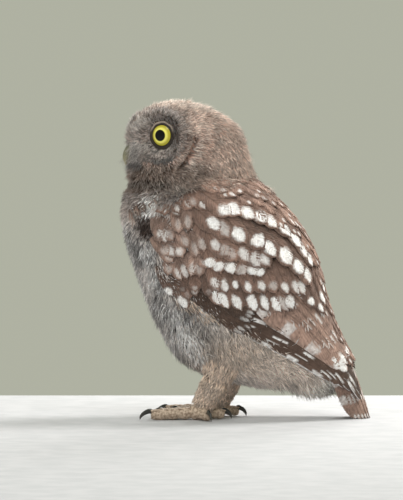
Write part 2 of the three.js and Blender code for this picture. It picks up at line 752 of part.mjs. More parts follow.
// The origin lies under the middle of the whole owl, which is found here
owl.position.x = -new THREE.Box3().setFromObject(owl, true).getCenter(new THREE.Vector3()).x;

export default owl;
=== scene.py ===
import math

import bpy
import numpy as np
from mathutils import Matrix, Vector
from mathutils.kdtree import KDTree


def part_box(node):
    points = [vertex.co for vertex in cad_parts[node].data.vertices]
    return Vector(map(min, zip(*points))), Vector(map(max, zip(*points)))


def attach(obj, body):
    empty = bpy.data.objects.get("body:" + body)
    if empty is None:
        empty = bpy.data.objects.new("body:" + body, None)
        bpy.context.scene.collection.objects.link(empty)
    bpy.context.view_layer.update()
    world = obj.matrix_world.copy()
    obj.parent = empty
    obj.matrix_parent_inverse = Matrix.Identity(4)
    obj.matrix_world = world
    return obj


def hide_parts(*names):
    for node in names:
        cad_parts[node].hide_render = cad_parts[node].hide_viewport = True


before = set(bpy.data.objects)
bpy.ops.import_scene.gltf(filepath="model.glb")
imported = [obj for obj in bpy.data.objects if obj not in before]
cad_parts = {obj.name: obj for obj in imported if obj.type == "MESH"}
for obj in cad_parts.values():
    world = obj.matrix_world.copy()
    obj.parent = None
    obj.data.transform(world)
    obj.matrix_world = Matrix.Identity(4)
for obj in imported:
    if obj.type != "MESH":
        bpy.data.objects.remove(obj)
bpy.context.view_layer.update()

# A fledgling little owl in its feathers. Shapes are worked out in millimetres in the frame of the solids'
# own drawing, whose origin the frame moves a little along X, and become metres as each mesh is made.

SIDES = ((-1, "left"), (1, "right"))
MIRROR = np.array([1, -1, 1])
AROUND = (0, 2 * math.pi)

# Body, as the solids have it: hoops from crown to vent, with [x, z] in front and behind, half width, fullness
FRONT_X = [
    -45.5, -57.5, -66, -70.5, -69.5, -70, -70.5, -73, -73.5,
    -71, -65.5, -58.5, -49.5, -35, -4, 22, 41, 50,
]
FRONT_Z = [
    191.2, 187.5, 180.5, 170, 159, 149.5, 140.5, 132.5, 121,
    106.5, 89.5, 71, 51, 32, 21.5, 20, 15.5, 19,
]
BACK_X = [-32, -20.5, -9.5, -1.5, 2, 4.5, 8, 15, 26.5, 35.5, 41, 46, 50, 53, 55, 57, 59, 60]
BACK_Z = [191.8, 189, 181, 171, 160, 150.5, 142.5, 135, 125, 110, 92, 74, 60, 51.5, 46.5, 42.5, 38.5, 34]
HALF = [7, 17.5, 26.5, 31.5, 33, 32.5, 31, 33, 37, 39, 39, 37.5, 34.5, 30, 25, 20, 14, 8.5]
BLUNT_FRONT = [2, 2, 1.9, 1.6, 1.6, 1.8, 2.1, 2.2, 2.2, 2.2, 2.2, 2.2, 2.1, 2.1, 2.1, 2, 2, 2]
BLUNT_BACK = [2, 2, 2.1] + [2.2] * 14 + [2]
LAST_HOOP = len(HALF) - 1
CROWN_X = [-58, -48, -38, -30]
CROWN_SINK = [0.6, 1.0, 2.2, 2.8]
CROWN_LEVELS = (170, 190)
NECK_X = -34.0
HEAD_TURN = math.radians(15)
HEAD_CENTRE = np.array([NECK_X, 0, 160.0])
HEAD_END = 6.0
NECK_END = 7.6

# Cloak: the surface that the folded wings and the tail lie on
CLOAK_START = np.array([-38.0, 0, 128])
CLOAK_SLOPE = math.radians(50)
CLOAK_FIRST = -20.0
CLOAK_STEP = 20.0
CLOAK_BACK = [22, 36, 43.6, 46.2, 45.3, 39.8, 30.6, 23.6, 18.8, 11, 2.5]
CLOAK_MIDDLE = [0, 2, 3, 3, 3.5, 4, 5, 5, 3.5, -1, -7]
CLOAK_SIDE = [26, 35, 40, 42, 41, 37.5, 31.5, 25.5, 19.5, 14.5, 12]
CLOAK_FRONT = [55, 60, 62, 62, 62, 60, 56, 48, 36, 22, 16]

# Head: forward, outward and up from its centre
EYE_RADIUS = 8.5
EYE_FRONT = np.array([22.6, 18.5, 9.8])
EYE_ASIDE = math.radians(44)
LID_ANGLE = math.radians(50)
GAZE_ASIDE = math.radians(46)
DISC_RADIUS = 25.0
DISC_DEPTH = 0.6
BILL_ROOT = np.array([30.0, 0, 1])

# Legs: [x, outward, z] of the left one
LEG_ASIDE = 17.0
RIGHT_LEG_BACK = 9.0
THIGH = {
    "path": [(-6, -3, 54), (-11, 0, 39), (-16.5, 0, 25.5)], "depths": [14, 13, 8.6], "widths": [10, 9.5, 6.8],
}
SHANK = {
    "path": [(-16.7, 0, 24.9), (-21, 0, 16), (-25.4, 0, 7.6)], "depths": [8, 7, 6.2], "widths": [6.2, 5.4, 5],
}
LEG_TOP = np.array([-9.0, LEG_ASIDE, 48])
FOOT_AT = (-27.0, 4.6)
TOES = [(-166, 11, 2.9, 7.0), (-23, 21, 3.2, 9.0), (7, 25, 3.3, 9.5), (108, 13, 3.0, 8.0)]

Y = np.array([0.0, 1, 0])
Z = np.array([0.0, 0, 1])


# Small mathematics

def along(values, place):
    """A smooth curve through a list of values, read at a place counted in entries, as the solids have it."""
    v = np.asarray(values, float)
    p = np.clip(np.asarray(place, float), 0, len(v) - 1)
    i = p.astype(int)
    f = p - i
    a = v[np.maximum(i - 1, 0)]
    b = v[i]
    c = v[np.minimum(i + 1, len(v) - 1)]
    d = v[np.minimum(i + 2, len(v) - 1)]
    if v.ndim > 1:
        f = f[..., None]
    return 0.5 * (2 * b + (c - a) * f + (2 * a - 5 * b + 4 * c - d) * f**2 + (3 * b - a - 3 * c + d) * f**3)


def unit(v):
    return v / np.maximum(np.linalg.norm(v, axis=-1, keepdims=True), 1e-9)


def dot(a, b):
    return (a * b).sum(-1, keepdims=True)


def smooth(x, low, high):
    t = np.clip((x - low) / (high - low), 0, 1)
    return t * t * (3 - 2 * t)


def turn_z(p, angle):
    c, s = np.cos(angle), np.sin(angle)
    return np.stack([p[..., 0] * c - p[..., 1] * s, p[..., 0] * s + p[..., 1] * c, p[..., 2] + 0 * c], -1)


def flipped(q):
    """The owl faces -X, and its left is -Y."""
    return np.stack([-q[..., 0], -q[..., 1], q[..., 2]], -1)


def to_head(p):
    """Forward, outward to the left and up from the head's centre, for points of the whole owl."""
    return flipped(turn_z(p - HEAD_CENTRE, -HEAD_TURN))


def head_direction(q):
    return turn_z(flipped(q), HEAD_TURN)


def from_head(q):
    return head_direction(q) + HEAD_CENTRE


# Surfaces: each gives points for two numbers

def body_surface(grow):
    """u is the place along the hoops, from -1 at the crown's top, v the angle round from the back."""

    def surface(u, v):
        u = np.asarray(u, float)
        v = np.asarray(v, float)
        cap = np.clip(1 + u, 0, 1)
        front = np.stack([along(FRONT_X, u), 0 * u, along(FRONT_Z, u)], -1)
        back = np.stack([along(BACK_X, u), 0 * u, along(BACK_Z, u)], -1)
        reach = np.linalg.norm(back - front, axis=-1) / 2 + grow
        c, s = np.cos(v), np.sin(v)
        power = 2 / np.where(c > 0, along(BLUNT_BACK, u), along(BLUNT_FRONT, u))
        out = np.sign(c) * np.abs(c) ** power * reach * cap
        side = np.sign(s) * np.abs(s) ** power * (along(HALF, u) + grow) * cap
        p = (front + back) / 2 + unit(back - front) * out[..., None] + Y * side[..., None]
        p[..., 2] += grow * (1 - cap**2)
        p[..., 2] -= np.interp(p[..., 0], CROWN_X, CROWN_SINK) * smooth(p[..., 2], *CROWN_LEVELS)
        pivot = np.array([NECK_X, 0, 0])
        p = turn_z(p - pivot, HEAD_TURN * (1 - smooth(u, HEAD_END, NECK_END + 1))) + pivot
        for side in (-1, 1):
            p = dished(p, side, grow)
        return p

    surface.step, surface.way = (0.03, 0.02), 1
    return surface


def eye_centre(side):
    axis = np.array([math.cos(EYE_ASIDE), math.sin(EYE_ASIDE), 0])
    return from_head((EYE_FRONT - axis * EYE_RADIUS) * [1, -side, 1])


def eye_axis(side, aside=EYE_ASIDE):
    return head_direction(np.array([math.cos(aside), -side * math.sin(aside), 0]))


def dished(p, side, grow):
    """Points of the head, pushed in to the dish of the facial disc round an eye."""
    axis = eye_axis(side)
    radius = DISC_RADIUS - grow
    rim = EYE_RADIUS * math.cos(LID_ANGLE)
    d = p - (eye_centre(side) + axis * (rim + DISC_RADIUS - DISC_DEPTH))
    level = (d * axis).sum(-1)
    aside = (d * d).sum(-1) - level**2
    floor = -np.sqrt(np.maximum(radius**2 - aside, 0))
    push = np.where((aside < radius**2) & (level < 0), np.maximum(level - floor, 0), 0)
    return p - axis * push[..., None]


def cloak_skin(s, angle):
    """The left side's cloak for angles over 0: s along the axis, angle round from the back in degrees."""
    place = (np.asarray(s, float) - CLOAK_FIRST) / CLOAK_STEP
    middle = along(CLOAK_MIDDLE, place)
    c = np.cos(np.radians(angle))
    out = middle + c * np.where(c > 0, along(CLOAK_BACK, place) - middle, along(CLOAK_FRONT, place))
    axis = np.array([math.cos(CLOAK_SLOPE), 0, -math.sin(CLOAK_SLOPE)])
    outward = np.array([math.sin(CLOAK_SLOPE), 0, math.cos(CLOAK_SLOPE)])
    side = (np.sin(np.radians(angle)) * along(CLOAK_SIDE, place))[..., None]
    return CLOAK_START + axis * np.asarray(s, float)[..., None] + outward * out[..., None] - Y * side


cloak_skin.step, cloak_skin.way = (0.5, 0.5), -1


def leg_back(side):
    """How much further back the right leg stands."""
    return RIGHT_LEG_BACK if side > 0 else 0


def leg_path(path, side):
    return [(x + leg_back(side), side * (LEG_ASIDE + out), z) for x, out, z in path]


def limb_surface(path, depths, widths, side):
    """A leg's tube: u from 0 to 1 down the leg, v the angle round it, 0 outwards."""
    points = leg_path(path, side)

    def surface(u, v):
        place = np.asarray(u, float) * (len(points) - 1)
        ahead = unit(along(points, place + 0.02) - along(points, place - 0.02))
        wide = Y * (side * along(widths, place) * np.cos(v))[..., None]
        deep = unit(np.cross(ahead, Y)) * (along(depths, place) * np.sin(v))[..., None]
        return along(points, place) + wide + deep

    surface.step, surface.way = (0.01, 0.05), -side
    return surface


def slopes(surface, u, v):
    """The point, its change along u and along v, and the outward normal."""
    du, dv = surface.step
    pu = (surface(u + du, v) - surface(u - du, v)) / (2 * du)
    pv = (surface(u, v + dv) - surface(u, v - dv)) / (2 * dv)
    return surface(u, v), pu, pv, unit(np.cross(pu, pv)) * surface.way


def shift(pu, pv, direction):
    """How far u and v change along a direction in the surface."""
    a, b, c = dot(pu, pu), dot(pu, pv), dot(pv, pv)
    d, e = dot(direction, pu), dot(direction, pv)
    det = np.maximum(a * c - b * b, 1e-12)
    return ((d * c - e * b) / det)[..., 0], ((e * a - d * b) / det)[..., 0]


# Meshes

EYE_MIDDLE = (np.array(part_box("eye_left")[0]) + np.array(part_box("eye_left")[1])) * 500
FRAME_SHIFT = np.array([(EYE_MIDDLE - eye_centre(-1))[0], 0, 0])


def set_values(mesh, key, data):
    """Numbers or colours of a mesh's points, for materials to read."""
    if data.ndim == 1:
        mesh.attributes.new(key, "FLOAT", "POINT").data.foreach_set("value", data)
    else:
        mesh.attributes.new(key, "FLOAT_VECTOR", "POINT").data.foreach_set("vector", data.ravel())


class Shape:
    """Points, faces and the values that materials read, gathered for one piece."""

    def __init__(self):
        self.points, self.faces, self.uvs, self.count = [], [], [], 0
        self.values = {}

    def add(self, points, faces, uv=None, **values):
        n = len(points)
        self.points.append(points)
        self.faces += [np.asarray(f) + self.count for f in faces]
        if uv is not None:
            self.uvs.append(uv)
        for name, value in values.items():
            value = np.asarray(value, float)
            full = np.broadcast_to(value, (n,) + value.shape[1:]) if value.ndim else np.full(n, value)
            self.values.setdefault(name, []).append(full)
        self.count += n

    def piece(self, name, material, slot, replaces=()):
        points = (np.concatenate(self.points) + FRAME_SHIFT) / 1000
        points[:, 2] = np.maximum(points[:, 2], 0)
        corners = np.concatenate([f.ravel() for f in self.faces])
        sizes = np.concatenate([np.full(len(f), f.shape[1]) for f in self.faces])
        mesh = bpy.data.meshes.new(name)
        mesh.vertices.add(len(points))
        mesh.vertices.foreach_set("co", points.astype(np.float32).ravel())
        mesh.loops.add(len(corners))
        mesh.loops.foreach_set("vertex_index", corners.astype(np.int32))
        mesh.polygons.add(len(sizes))
        mesh.polygons.foreach_set("loop_start", (np.cumsum(sizes) - sizes).astype(np.int32))
        mesh.update(calc_edges=True)
        mesh.polygons.foreach_set("use_smooth", np.ones(len(sizes), bool))
        if self.uvs:
            layer = mesh.uv_layers.new(name="OFBake")
            layer.uv.foreach_set("vector", np.concatenate(self.uvs)[corners].astype(np.float32).ravel())
        for key, parts in self.values.items():
            data = np.concatenate(parts).astype(np.float32)
            set_values(mesh, key, data)
        mesh.materials.append(material)
        made = bpy.data.objects.new(name, mesh)
        bpy.context.collection.objects.link(made)
        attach(made, "root")
        if replaces:
            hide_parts(*replaces)
        return made


def grid_faces(rows, columns, wrap=False):
    i, j = np.meshgrid(np.arange(rows - 1), np.arange(columns if wrap else columns - 1), indexing="ij")
    near, far = i * columns, (i + 1) * columns
    k = (j + 1) % columns
    return np.stack([near + j, near + k, far + k, far + j], -1).reshape(-1, 4)


def closed_faces(rows, columns):
    """Faces of a wrapped grid closed at both ends by two points that follow it."""
    j = np.arange(columns)
    k = (j + 1) % columns
    n = rows * columns
    first = np.stack([k, j, 0 * j + n], -1)
    last = np.stack([j + n - columns, k + n - columns, 0 * j + n + 1], -1)
    return [grid_faces(rows, columns, wrap=True), first, last]


def noise(x, y, seed=0):
    """Smooth random values from 0 to 1 over the plane."""

    def corner(i, j):
        h = np.sin(i * 127.1 + j * 311.7 + seed * 74.7) * 43758.5453
        return h - np.floor(h)

    i, j = np.floor(x), np.floor(y)
    f, g = smooth(x - i, 0, 1), smooth(y - j, 0, 1)
    low = corner(i, j) * (1 - f) + corner(i + 1, j) * f
    high = corner(i, j + 1) * (1 - f) + corner(i + 1, j + 1) * f
    return low * (1 - g) + high * g


def scatter(surface, u_range, v_range, count, rng, density=None, cells=(320, 400)):
    """Places spread evenly over a stretch of a surface, or by a density that u, v and the points give."""
    u = np.linspace(*u_range, cells[0] + 1)
    v = np.linspace(*v_range, cells[1] + 1)
    du, dv = u[1] - u[0], v[1] - v[0]
    gu, gv = np.meshgrid(u[:-1] + du / 2, v[:-1] + dv / 2, indexing="ij")
    gu, gv = gu.ravel(), gv.ravel()
    p, pu, pv, _ = slopes(surface, gu, gv)
    weight = np.linalg.norm(np.cross(pu, pv), axis=-1)
    if density is not None:
        weight = weight * density(gu, gv, p)
    total = np.cumsum(weight)
    order = np.searchsorted(total, (np.arange(count) + rng.random(count)) / count * total[-1])
    order = np.minimum(order, len(gu) - 1)
    return gu[order] + (rng.random(count) - 0.5) * du, gv[order] + (rng.random(count) - 0.5) * dv


# Tufts: a few tapered strands from one root, each a closed three-sided blade

STRANDS = 3
STRAND_AT = np.array([0, 0.36, 0.72])
STRAND_WIDE = np.array([0.7, 1, 0.68])
STRAND_THICK = 0.35
STRAND_POINTS = 10
SHORTEST = 0.3
CURL = 0.12
TINT_VARIES = 0.17
PATCH = 0.003


def strand_faces():
    sides = (0, 1, 2)
    pairs = [(3 * i + j, 3 * i + (j + 1) % 3) for i in (0, 1) for j in sides]
    quads = [[a, b, b + 3, a + 3] for a, b in pairs]
    triangles = [[6 + j, 6 + (j + 1) % 3, 9] for j in sides] + [[0, 2, 1]]
    return np.array(quads), np.array(triangles)


def add_tufts(shape, surface, u, v, lie, rng, colour, unwrap, length, width, root, tip, lift, fan, tip_colour,
              wild=0.12):
    """Tufts with roots at u, v. root is how deep they start and tip how high they end, over the surface."""
    count = len(u)
    spread = lambda value: np.broadcast_to(np.asarray(value, float), (count,))[:, None, None]
    length, width, root, tip, lift = map(spread, (length, width, root, tip, lift))
    p, pu, pv, n = slopes(surface, u, v)
    lie = unit(lie - n * dot(lie, n))
    ahead = length[:, 0] * 0.7
    mu, mv = shift(pu, pv, lie * ahead)
    fall = dot(surface(u + mu, v + mv) - p - lie * ahead, n) / ahead**2
    side = np.cross(n, lie)
    spot = np.linspace(-1, 1, STRANDS)
    angle = fan * spot + wild * rng.normal(size=(count, STRANDS))
    way = lie[:, None] * np.cos(angle)[..., None] + side[:, None] * np.sin(angle)[..., None]
    aside = np.cross(n[:, None], way)
    size = 1 - SHORTEST * rng.random((count, STRANDS, 1))
    start = p[:, None] + side[:, None] * (0.35 * spot[None, :, None] * width)
    bend = CURL * rng.normal(size=(count, STRANDS, 1))
    high = tip * (0.6 + 0.8 * rng.random((count, STRANDS, 1)))
    up = n[:, None]
    rows = []
    for at, wide in [*zip(STRAND_AT, STRAND_WIDE), (1.0, 0.0)]:
        run = length * size * at
        height = -root + (root + high) * at**0.8 + lift * at * at + fall[:, None] * run**2
        middle = start + way * run + up * height + aside * (bend * run * at)
        half = width * wide / 2
        if wide:
            rows += [middle - aside * half, middle + aside * half, middle + up * (2 * half * STRAND_THICK)]
        else:
            rows.append(middle)
    points = np.stack(rows, 2)
    number = np.arange(count * STRANDS)[:, None, None] * STRAND_POINTS
    faces = [(number + f).reshape(-1, f.shape[1]) for f in strand_faces()]
    at = np.append(np.repeat(STRAND_AT, 3), 1.0)
    across = np.append(np.tile([-1, 1, 0.0], 3), 0.0)
    full = np.ones((count, STRANDS, STRAND_POINTS))
    tint = 0.5 + TINT_VARIES * rng.normal(size=(count, 1, 1))
    tint = np.clip(tint + TINT_VARIES * rng.normal(size=(count, STRANDS, 1)), 0, 1)
    place = unwrap(u, v)[:, None, None] + PATCH / 2 * np.stack([across * full, (2 * at - 1) * full], -1)
    painted = lambda c: (np.broadcast_to(c, (count, 3))[:, None, None] * full[..., None]).reshape(-1, 3)
    shape.add(points.reshape(-1, 3), faces, place.reshape(-1, 2), along=(at * full).ravel(),
              tint=(tint * full).ravel(), colour=painted(colour), tip_colour=painted(tip_colour))


# Vanes: whole feathers that lie along the cloak

VANE_ROWS = np.array([0, 0.12, 0.26, 0.4, 0.54, 0.66, 0.76, 0.84, 0.9, 0.95, 0.985, 1])
COVERT_WIDE = np.array([0.5, 0.72, 0.9, 0.98, 1, 1, 0.97, 0.9, 0.78, 0.6, 0.36, 0.1])
FLIGHT_WIDE = np.array([0.6, 0.8, 0.94, 1, 1, 0.98, 0.95, 0.88, 0.78, 0.62, 0.4, 0.12])
VANE_COLUMNS = np.array([-1, -0.72, -0.36, 0, 0.36, 0.72, 1])
VANE_THICK = 0.12
VANE_RAGGED = 0.06

BARB_AT = np.array([0, 0.55, 1.0])
BARB_SPACING = 1.0
BARB_WIDE = 0.75
BARB_THICK = 0.22
BARB_SWEEP = 1.25
BARBS_LEAST, BARBS_MOST = 8, 70
BARB_FACES = (
    np.array([[0, 1, 4, 3], [1, 2, 5, 4], [2, 0, 3, 5]]),
    np.array([[3, 4, 6], [4, 5, 6], [5, 3, 6], [0, 2, 1]]),
)
BARB_ROWS = [0, 0, 0, 1, 1, 1, 2]


def cloak_patch(s, angle):
    """Where a place on the cloak lies in the wings' and the tail's map."""
    return np.stack([(angle + 25) / 170, (s + 35) / 220], -1)


def vane_faces(rows, columns):
    """Faces of a feather's blade: its upper sheet, then the rim and the underside with both ends."""
    base = rows * columns
    i = np.arange(rows - 1)
    left, right = i * columns, i * columns + columns - 1
    low_left, low_right = base + 2 * i, base + 2 * i + 1
    rim = [
        np.stack([left, left + columns, low_left + 2, low_left], -1)[:, ::-1],
        np.stack([right, low_right, low_right + 2, right + columns], -1)[:, ::-1],
        np.stack([low_left, low_left + 2, low_right + 2, low_right], -1)[:, ::-1],
    ]
    first = np.array([[*range(columns), base + 1, base]])
    last = np.array([[*range(base - columns, base), base + 2 * rows - 1, base + 2 * rows - 2]])[:, ::-1]
    return [np.concatenate([grid_faces(rows, columns)[:, ::-1], *rim]), first, last]


def add_vanes(shape, roots, tips, rng, breadth, lift, camber=0.5, tilt=0.22, wide=COVERT_WIDE, side=-1,
              cell=0.02, loose=0.12, spacing=BARB_SPACING, **values):
    """Feathers on the cloak from roots to tips, given as rows of [s, angle]. values go to the material."""
    count = len(roots)
    breadth = np.broadcast_to(np.asarray(breadth, float), (count,))[:, None]
    low, high = lift
    span = (tips - roots)[:, None]
    home = cloak_patch(roots[:, 0], roots[:, 1])
    values = {key: np.broadcast_to(value, (count,) + np.shape(value)[1:]) for key, value in values.items()}

    def locate(t, c, over=0.0):
        """Points and normals of each feather at shares t of its length and c of its half breadth."""
        at = roots[:, None] + span * t[..., None]
        u, v = at[..., 0], at[..., 1]
        _, pu, pv, n = slopes(cloak_skin, u, v)
        across = unit(np.cross(n, unit(pu * span[..., :1] + pv * span[..., 1:])))
        full = np.interp(t, VANE_ROWS, wide)
        du, dv = shift(pu, pv, across * (breadth / 2 * full * c)[..., None])
        rise = low + (high - low) * np.clip(t, 0, 1.1) ** 0.9 - tilt * c
        rise = rise + camber * (1 - np.minimum(c * c, 1)) * (0.4 + 0.6 * full) + over
        q, _, _, qn = slopes(cloak_skin, u + du, v + dv)
        return q + qn * rise[..., None], qn

    def add(points, faces, t, c, who):
        """Adds forms of equal point counts; who tells which feather each form belongs to."""
        forms, size = points.shape[:2]
        number = np.arange(forms)[:, None, None] * size
        made = [(number + f[None]).reshape(-1, f.shape[1]) for f in faces]
        if side > 0:
            points = points * MIRROR
            made = [f[:, ::-1] for f in made]
        uv = home[who][:, None] + cell * np.stack([c / 2, t - 0.5], -1)
        given = {key: np.repeat(value[who], size, axis=0) for key, value in values.items()}
        uv = np.clip(uv, 0, 1).reshape(-1, 2)
        shape.add(points.reshape(-1, 3), made, uv, along=t.ravel(), across=c.ravel(), **given)

    flat = lambda x: x.reshape(count, -1)
    rows, columns = len(VANE_ROWS), len(VANE_COLUMNS)
    t = np.broadcast_to(VANE_ROWS[None, :, None], (count, rows, columns))
    ends = 1 - VANE_RAGGED * rng.random((count, rows, 2))
    c = np.where(VANE_COLUMNS < 0, VANE_COLUMNS * ends[..., :1], VANE_COLUMNS * ends[..., 1:])
    top, n = locate(flat(t), flat(c))
    top, n = top.reshape(count, rows, columns, 3), n.reshape(count, rows, columns, 3)
    under = top[:, :, [0, -1]] - n[:, :, [0, -1]] * VANE_THICK
    points = np.concatenate([top.reshape(count, -1, 3), under.reshape(count, -1, 3)], 1)
    c = np.broadcast_to(VANE_COLUMNS, (count, rows, columns))
    t, c = [np.concatenate([flat(x), flat(x[:, :, [0, -1]])], 1) for x in (t, c)]
    add(points, vane_faces(rows, columns), t, c, np.arange(count))

    length = np.linalg.norm(top[:, -1, 3] - top[:, 0, 3], axis=-1)
    number = int(np.clip(length.mean() / spacing, BARBS_LEAST, BARBS_MOST))
    sweep = (BARB_SWEEP * breadth / 2 / length[:, None])[:, None]
    at = BARB_AT
    for web in (-1, 1):
        root = 0.12 + 0.9 * (np.arange(number) + rng.random((count, number))) / number
        reach = 1 + loose * (1.6 * rng.random((count, number)) - 0.6)
        start = 0.45 * rng.random((count, number))
        t = root[..., None] * (1 - 0.07 * at**2) + sweep * at * (1 - 0.6 * root[..., None] ** 3)
        c = web * (start[..., None] + (reach - start)[..., None] * at**0.85)
        over = (0.02 + 0.1 * at) * np.ones_like(t) + 0.3 * (rng.random((count, number, 1)) ** 4) * at
        middle, n = locate(flat(t), flat(c), flat(over))
        middle, n = middle.reshape(-1, 3, 3), n.reshape(-1, 3, 3)
        aside = unit(np.cross(n, unit(middle[:, 2:] - middle[:, :1])))[:, :2] * (BARB_WIDE / 2)
        stem = middle[:, :2]
        ridge = stem + n[:, :2] * BARB_THICK
        points = np.stack([stem - aside, stem + aside, ridge], 2).reshape(-1, 6, 3)
        points = np.concatenate([points, middle[:, 2:]], 1)
        who = np.repeat(np.arange(count), number)
        add(points, BARB_FACES, t.reshape(-1, 3)[:, BARB_ROWS], c.reshape(-1, 3)[:, BARB_ROWS], who)


# Materials

def tone(r, g, b):
    """A colour as it looks, from 0 to 255, as the linear light that shaders use."""
    c = np.array([r, g, b]) / 255
    return np.where(c > 0.04045, ((c + 0.055) / 1.055) ** 2.4, c / 12.92)


WHITE = tone(248, 246, 244)


class Finish:
    """A procedural material and short names for the nodes that it is made of."""

    def __init__(self, name, roughness, **sockets):
        self.material = bpy.data.materials.new(name)
        self.material.use_nodes = True
        self.tree = self.material.node_tree
        self.shader = self.tree.nodes["Principled BSDF"]
        for socket, value in {"Roughness": roughness, **sockets}.items():
            self.shader.inputs[socket.replace("_", " ")].default_value = value

    def link(self, value, socket):
        if hasattr(value, "links"):
            self.tree.links.new(value, socket)
        elif socket.type == "RGBA":
            socket.default_value = (*value, 1)
        else:
            socket.default_value = value

    def read(self, name, kind="Fac"):
        node = self.tree.nodes.new("ShaderNodeAttribute")
        node.attribute_name = name
        return node.outputs[kind]

    def split(self, vector):
        node = self.tree.nodes.new("ShaderNodeSeparateXYZ")
        self.link(vector, node.inputs[0])
        return node.outputs

    def math(self, operation, a, b=0.0):
        node = self.tree.nodes.new("ShaderNodeMath")
        node.operation = operation
        self.link(a, node.inputs[0])
        self.link(b, node.inputs[1])
        return node.outputs[0]

    def times(self, a, b):
        return self.math("MULTIPLY", a, b)

    def plus(self, a, b):
        return self.math("ADD", a, b)

    def minus(self, a, b):
        return self.math("SUBTRACT", a, b)

    def ease(self, value, low, high, to_low=0.0, to_high=1.0):
        node = self.tree.nodes.new("ShaderNodeMapRange")
        node.interpolation_type = "SMOOTHSTEP"
        for socket, given in zip(node.inputs, (value, low, high, to_low, to_high)):
            self.link(given, socket)
        return node.outputs[0]

    def mix(self, share, a, b, blend="MIX"):
        node = self.tree.nodes.new("ShaderNodeMix")
        node.data_type, node.blend_type = "RGBA", blend
        for place, given in zip((0, 6, 7), (share, a, b)):
            self.link(given, node.inputs[place])
        return node.outputs[2]

    def place(self):
        return self.tree.nodes.new("ShaderNodeTexCoord").outputs["Object"]

    def noise(self, scale, detail=3.0):
        node = self.tree.nodes.new("ShaderNodeTexNoise")
        self.link(self.place(), node.inputs["Vector"])
        self.link(scale, node.inputs["Scale"])
        self.link(detail, node.inputs["Detail"])
        return node.outputs["Fac"]

    def mottle(self, scale, low=0.0, high=1.0, detail=3.0):
        """Noise, stretched to run from low to high."""
        return self.ease(self.noise(scale, detail), 0.3, 0.7, low, high)

    def bump(self, height, distance, strength):
        node = self.tree.nodes.new("ShaderNodeBump")
        self.link(distance, node.inputs["Distance"])
        self.link(strength, node.inputs["Strength"])
        self.link(height, node.inputs["Height"])
        self.link(node.outputs[0], self.shader.inputs["Normal"])

    def done(self, colour):
        self.link(colour, self.shader.inputs["Base Color"])
        return self.material


def down_finish():
    """Tufts: darker where they rise from the skin, varied from strand to strand."""
    f = Finish("down", 0.9, Sheen_Weight=0.12, Sheen_Roughness=0.4, IOR=1.3)
    at = f.read("along")
    colour = f.mix(f.ease(at, 0.35, 0.95), f.read("colour", "Vector"), f.read("tip_colour", "Vector"))
    shade = f.times(f.ease(at, 0, 0.5, 0.4, 1.0), f.ease(f.read("tint"), 0, 1, 0.58, 1.66))
    return f.done(f.mix(1.0, colour, f.times(shade, f.mottle(350.0, 0.9, 1.1)), "MULTIPLY"))


def vane_spot(f, at, across):
    """How far a place on a feather lies in its white spot."""
    x, y, level = f.split(f.read("spot", "Vector"))
    rx, ry, soft = f.split(f.read("spot_size", "Vector"))
    far_x = f.math("DIVIDE", f.minus(at, x), rx)
    far_y = f.math("DIVIDE", f.minus(across, y), ry)
    far = f.math("SQRT", f.plus(f.times(far_x, far_x), f.times(far_y, far_y)))
    far = f.plus(far, f.mottle(380.0, -0.14, 0.14))
    far = f.plus(far, f.times(f.minus(f.noise(900.0, 1.0), 0.5), 0.3))
    return f.times(f.ease(far, f.minus(0.95, soft), f.plus(1.05, soft), 1.0, 0.0), level)


def vane_bars(f, at, across):
    """How far a place lies in the pale bars of the outer web, or in its pale edge."""
    count, start, strength = f.split(f.read("bars", "Vector"))
    wave = f.math("FRACT", f.plus(f.times(at, count), f.mottle(160.0, -0.06, 0.06)))
    wave = f.math("ABSOLUTE", f.minus(wave, 0.5))
    outer = f.ease(across, f.minus(start, 0.3), start, 1.0, 0.0)
    bar = f.times(f.ease(wave, 0.14, 0.26, 1.0, 0.0), outer)
    bar = f.times(f.times(bar, strength), f.ease(at, 0.9, 0.97, 1.0, 0.0))
    bar = f.times(bar, f.ease(f.noise(420.0), 0.3, 0.62, 0.55, 1.0))
    edge = f.times(f.ease(across, -0.95, -0.72, 0.8, 0.0), f.ease(strength, 0.8, 0.95))
    return f.math("MAXIMUM", bar, edge)


def vane_finish():
    """Whole feathers: shaft, barbs, pale edge, one soft spot near the tip and bars along the outer web."""
    f = Finish("vane", 0.75, Sheen_Weight=0.08, Sheen_Roughness=0.5, IOR=1.35)
    at, across = f.read("along"), f.read("across")
    aside = f.math("ABSOLUTE", across)
    white = f.math("MAXIMUM", vane_spot(f, at, across), vane_bars(f, at, across))
    shade = f.times(f.ease(f.read("tint"), 0, 1, 0.7, 1.3), f.mottle(260.0, 0.8, 1.2, 5.0))
    shade = f.times(shade, f.ease(at, 0.0, 1.0, 0.75, 1.12))
    colour = f.mix(1.0, f.read("ground", "Vector"), shade, "MULTIPLY")
    shaft = f.times(f.ease(aside, 0.03, 0.14, 1.0, 0.0), f.ease(at, 0.8, 1.0, 0.45, 0.0))
    colour = f.mix(shaft, colour, SHAFT_BROWN)
    colour = f.mix(f.ease(aside, 0.65, 1.05, 0.0, 0.4), colour, EDGE_BROWN)
    barbs = f.minus(f.times(at, 46.0), f.times(aside, 12.0))
    barbs = f.math("SINE", f.plus(f.times(barbs, 2.2), f.times(f.noise(300.0), 4.0)))
    colour = f.mix(f.ease(barbs, -1.0, 1.0, 0.0, 0.22), colour, BARB_BROWN)
    colour = f.mix(white, colour, f.mix(f.mottle(500.0), SPOT_WHITE, PURE_WHITE))
    colour = f.mix(f.times(f.ease(barbs, 0.0, 1.0, 0.0, 0.12), white), colour, SPOT_SHADE)
    f.bump(barbs, 0.00012, 0.5)
    return f.done(colour)


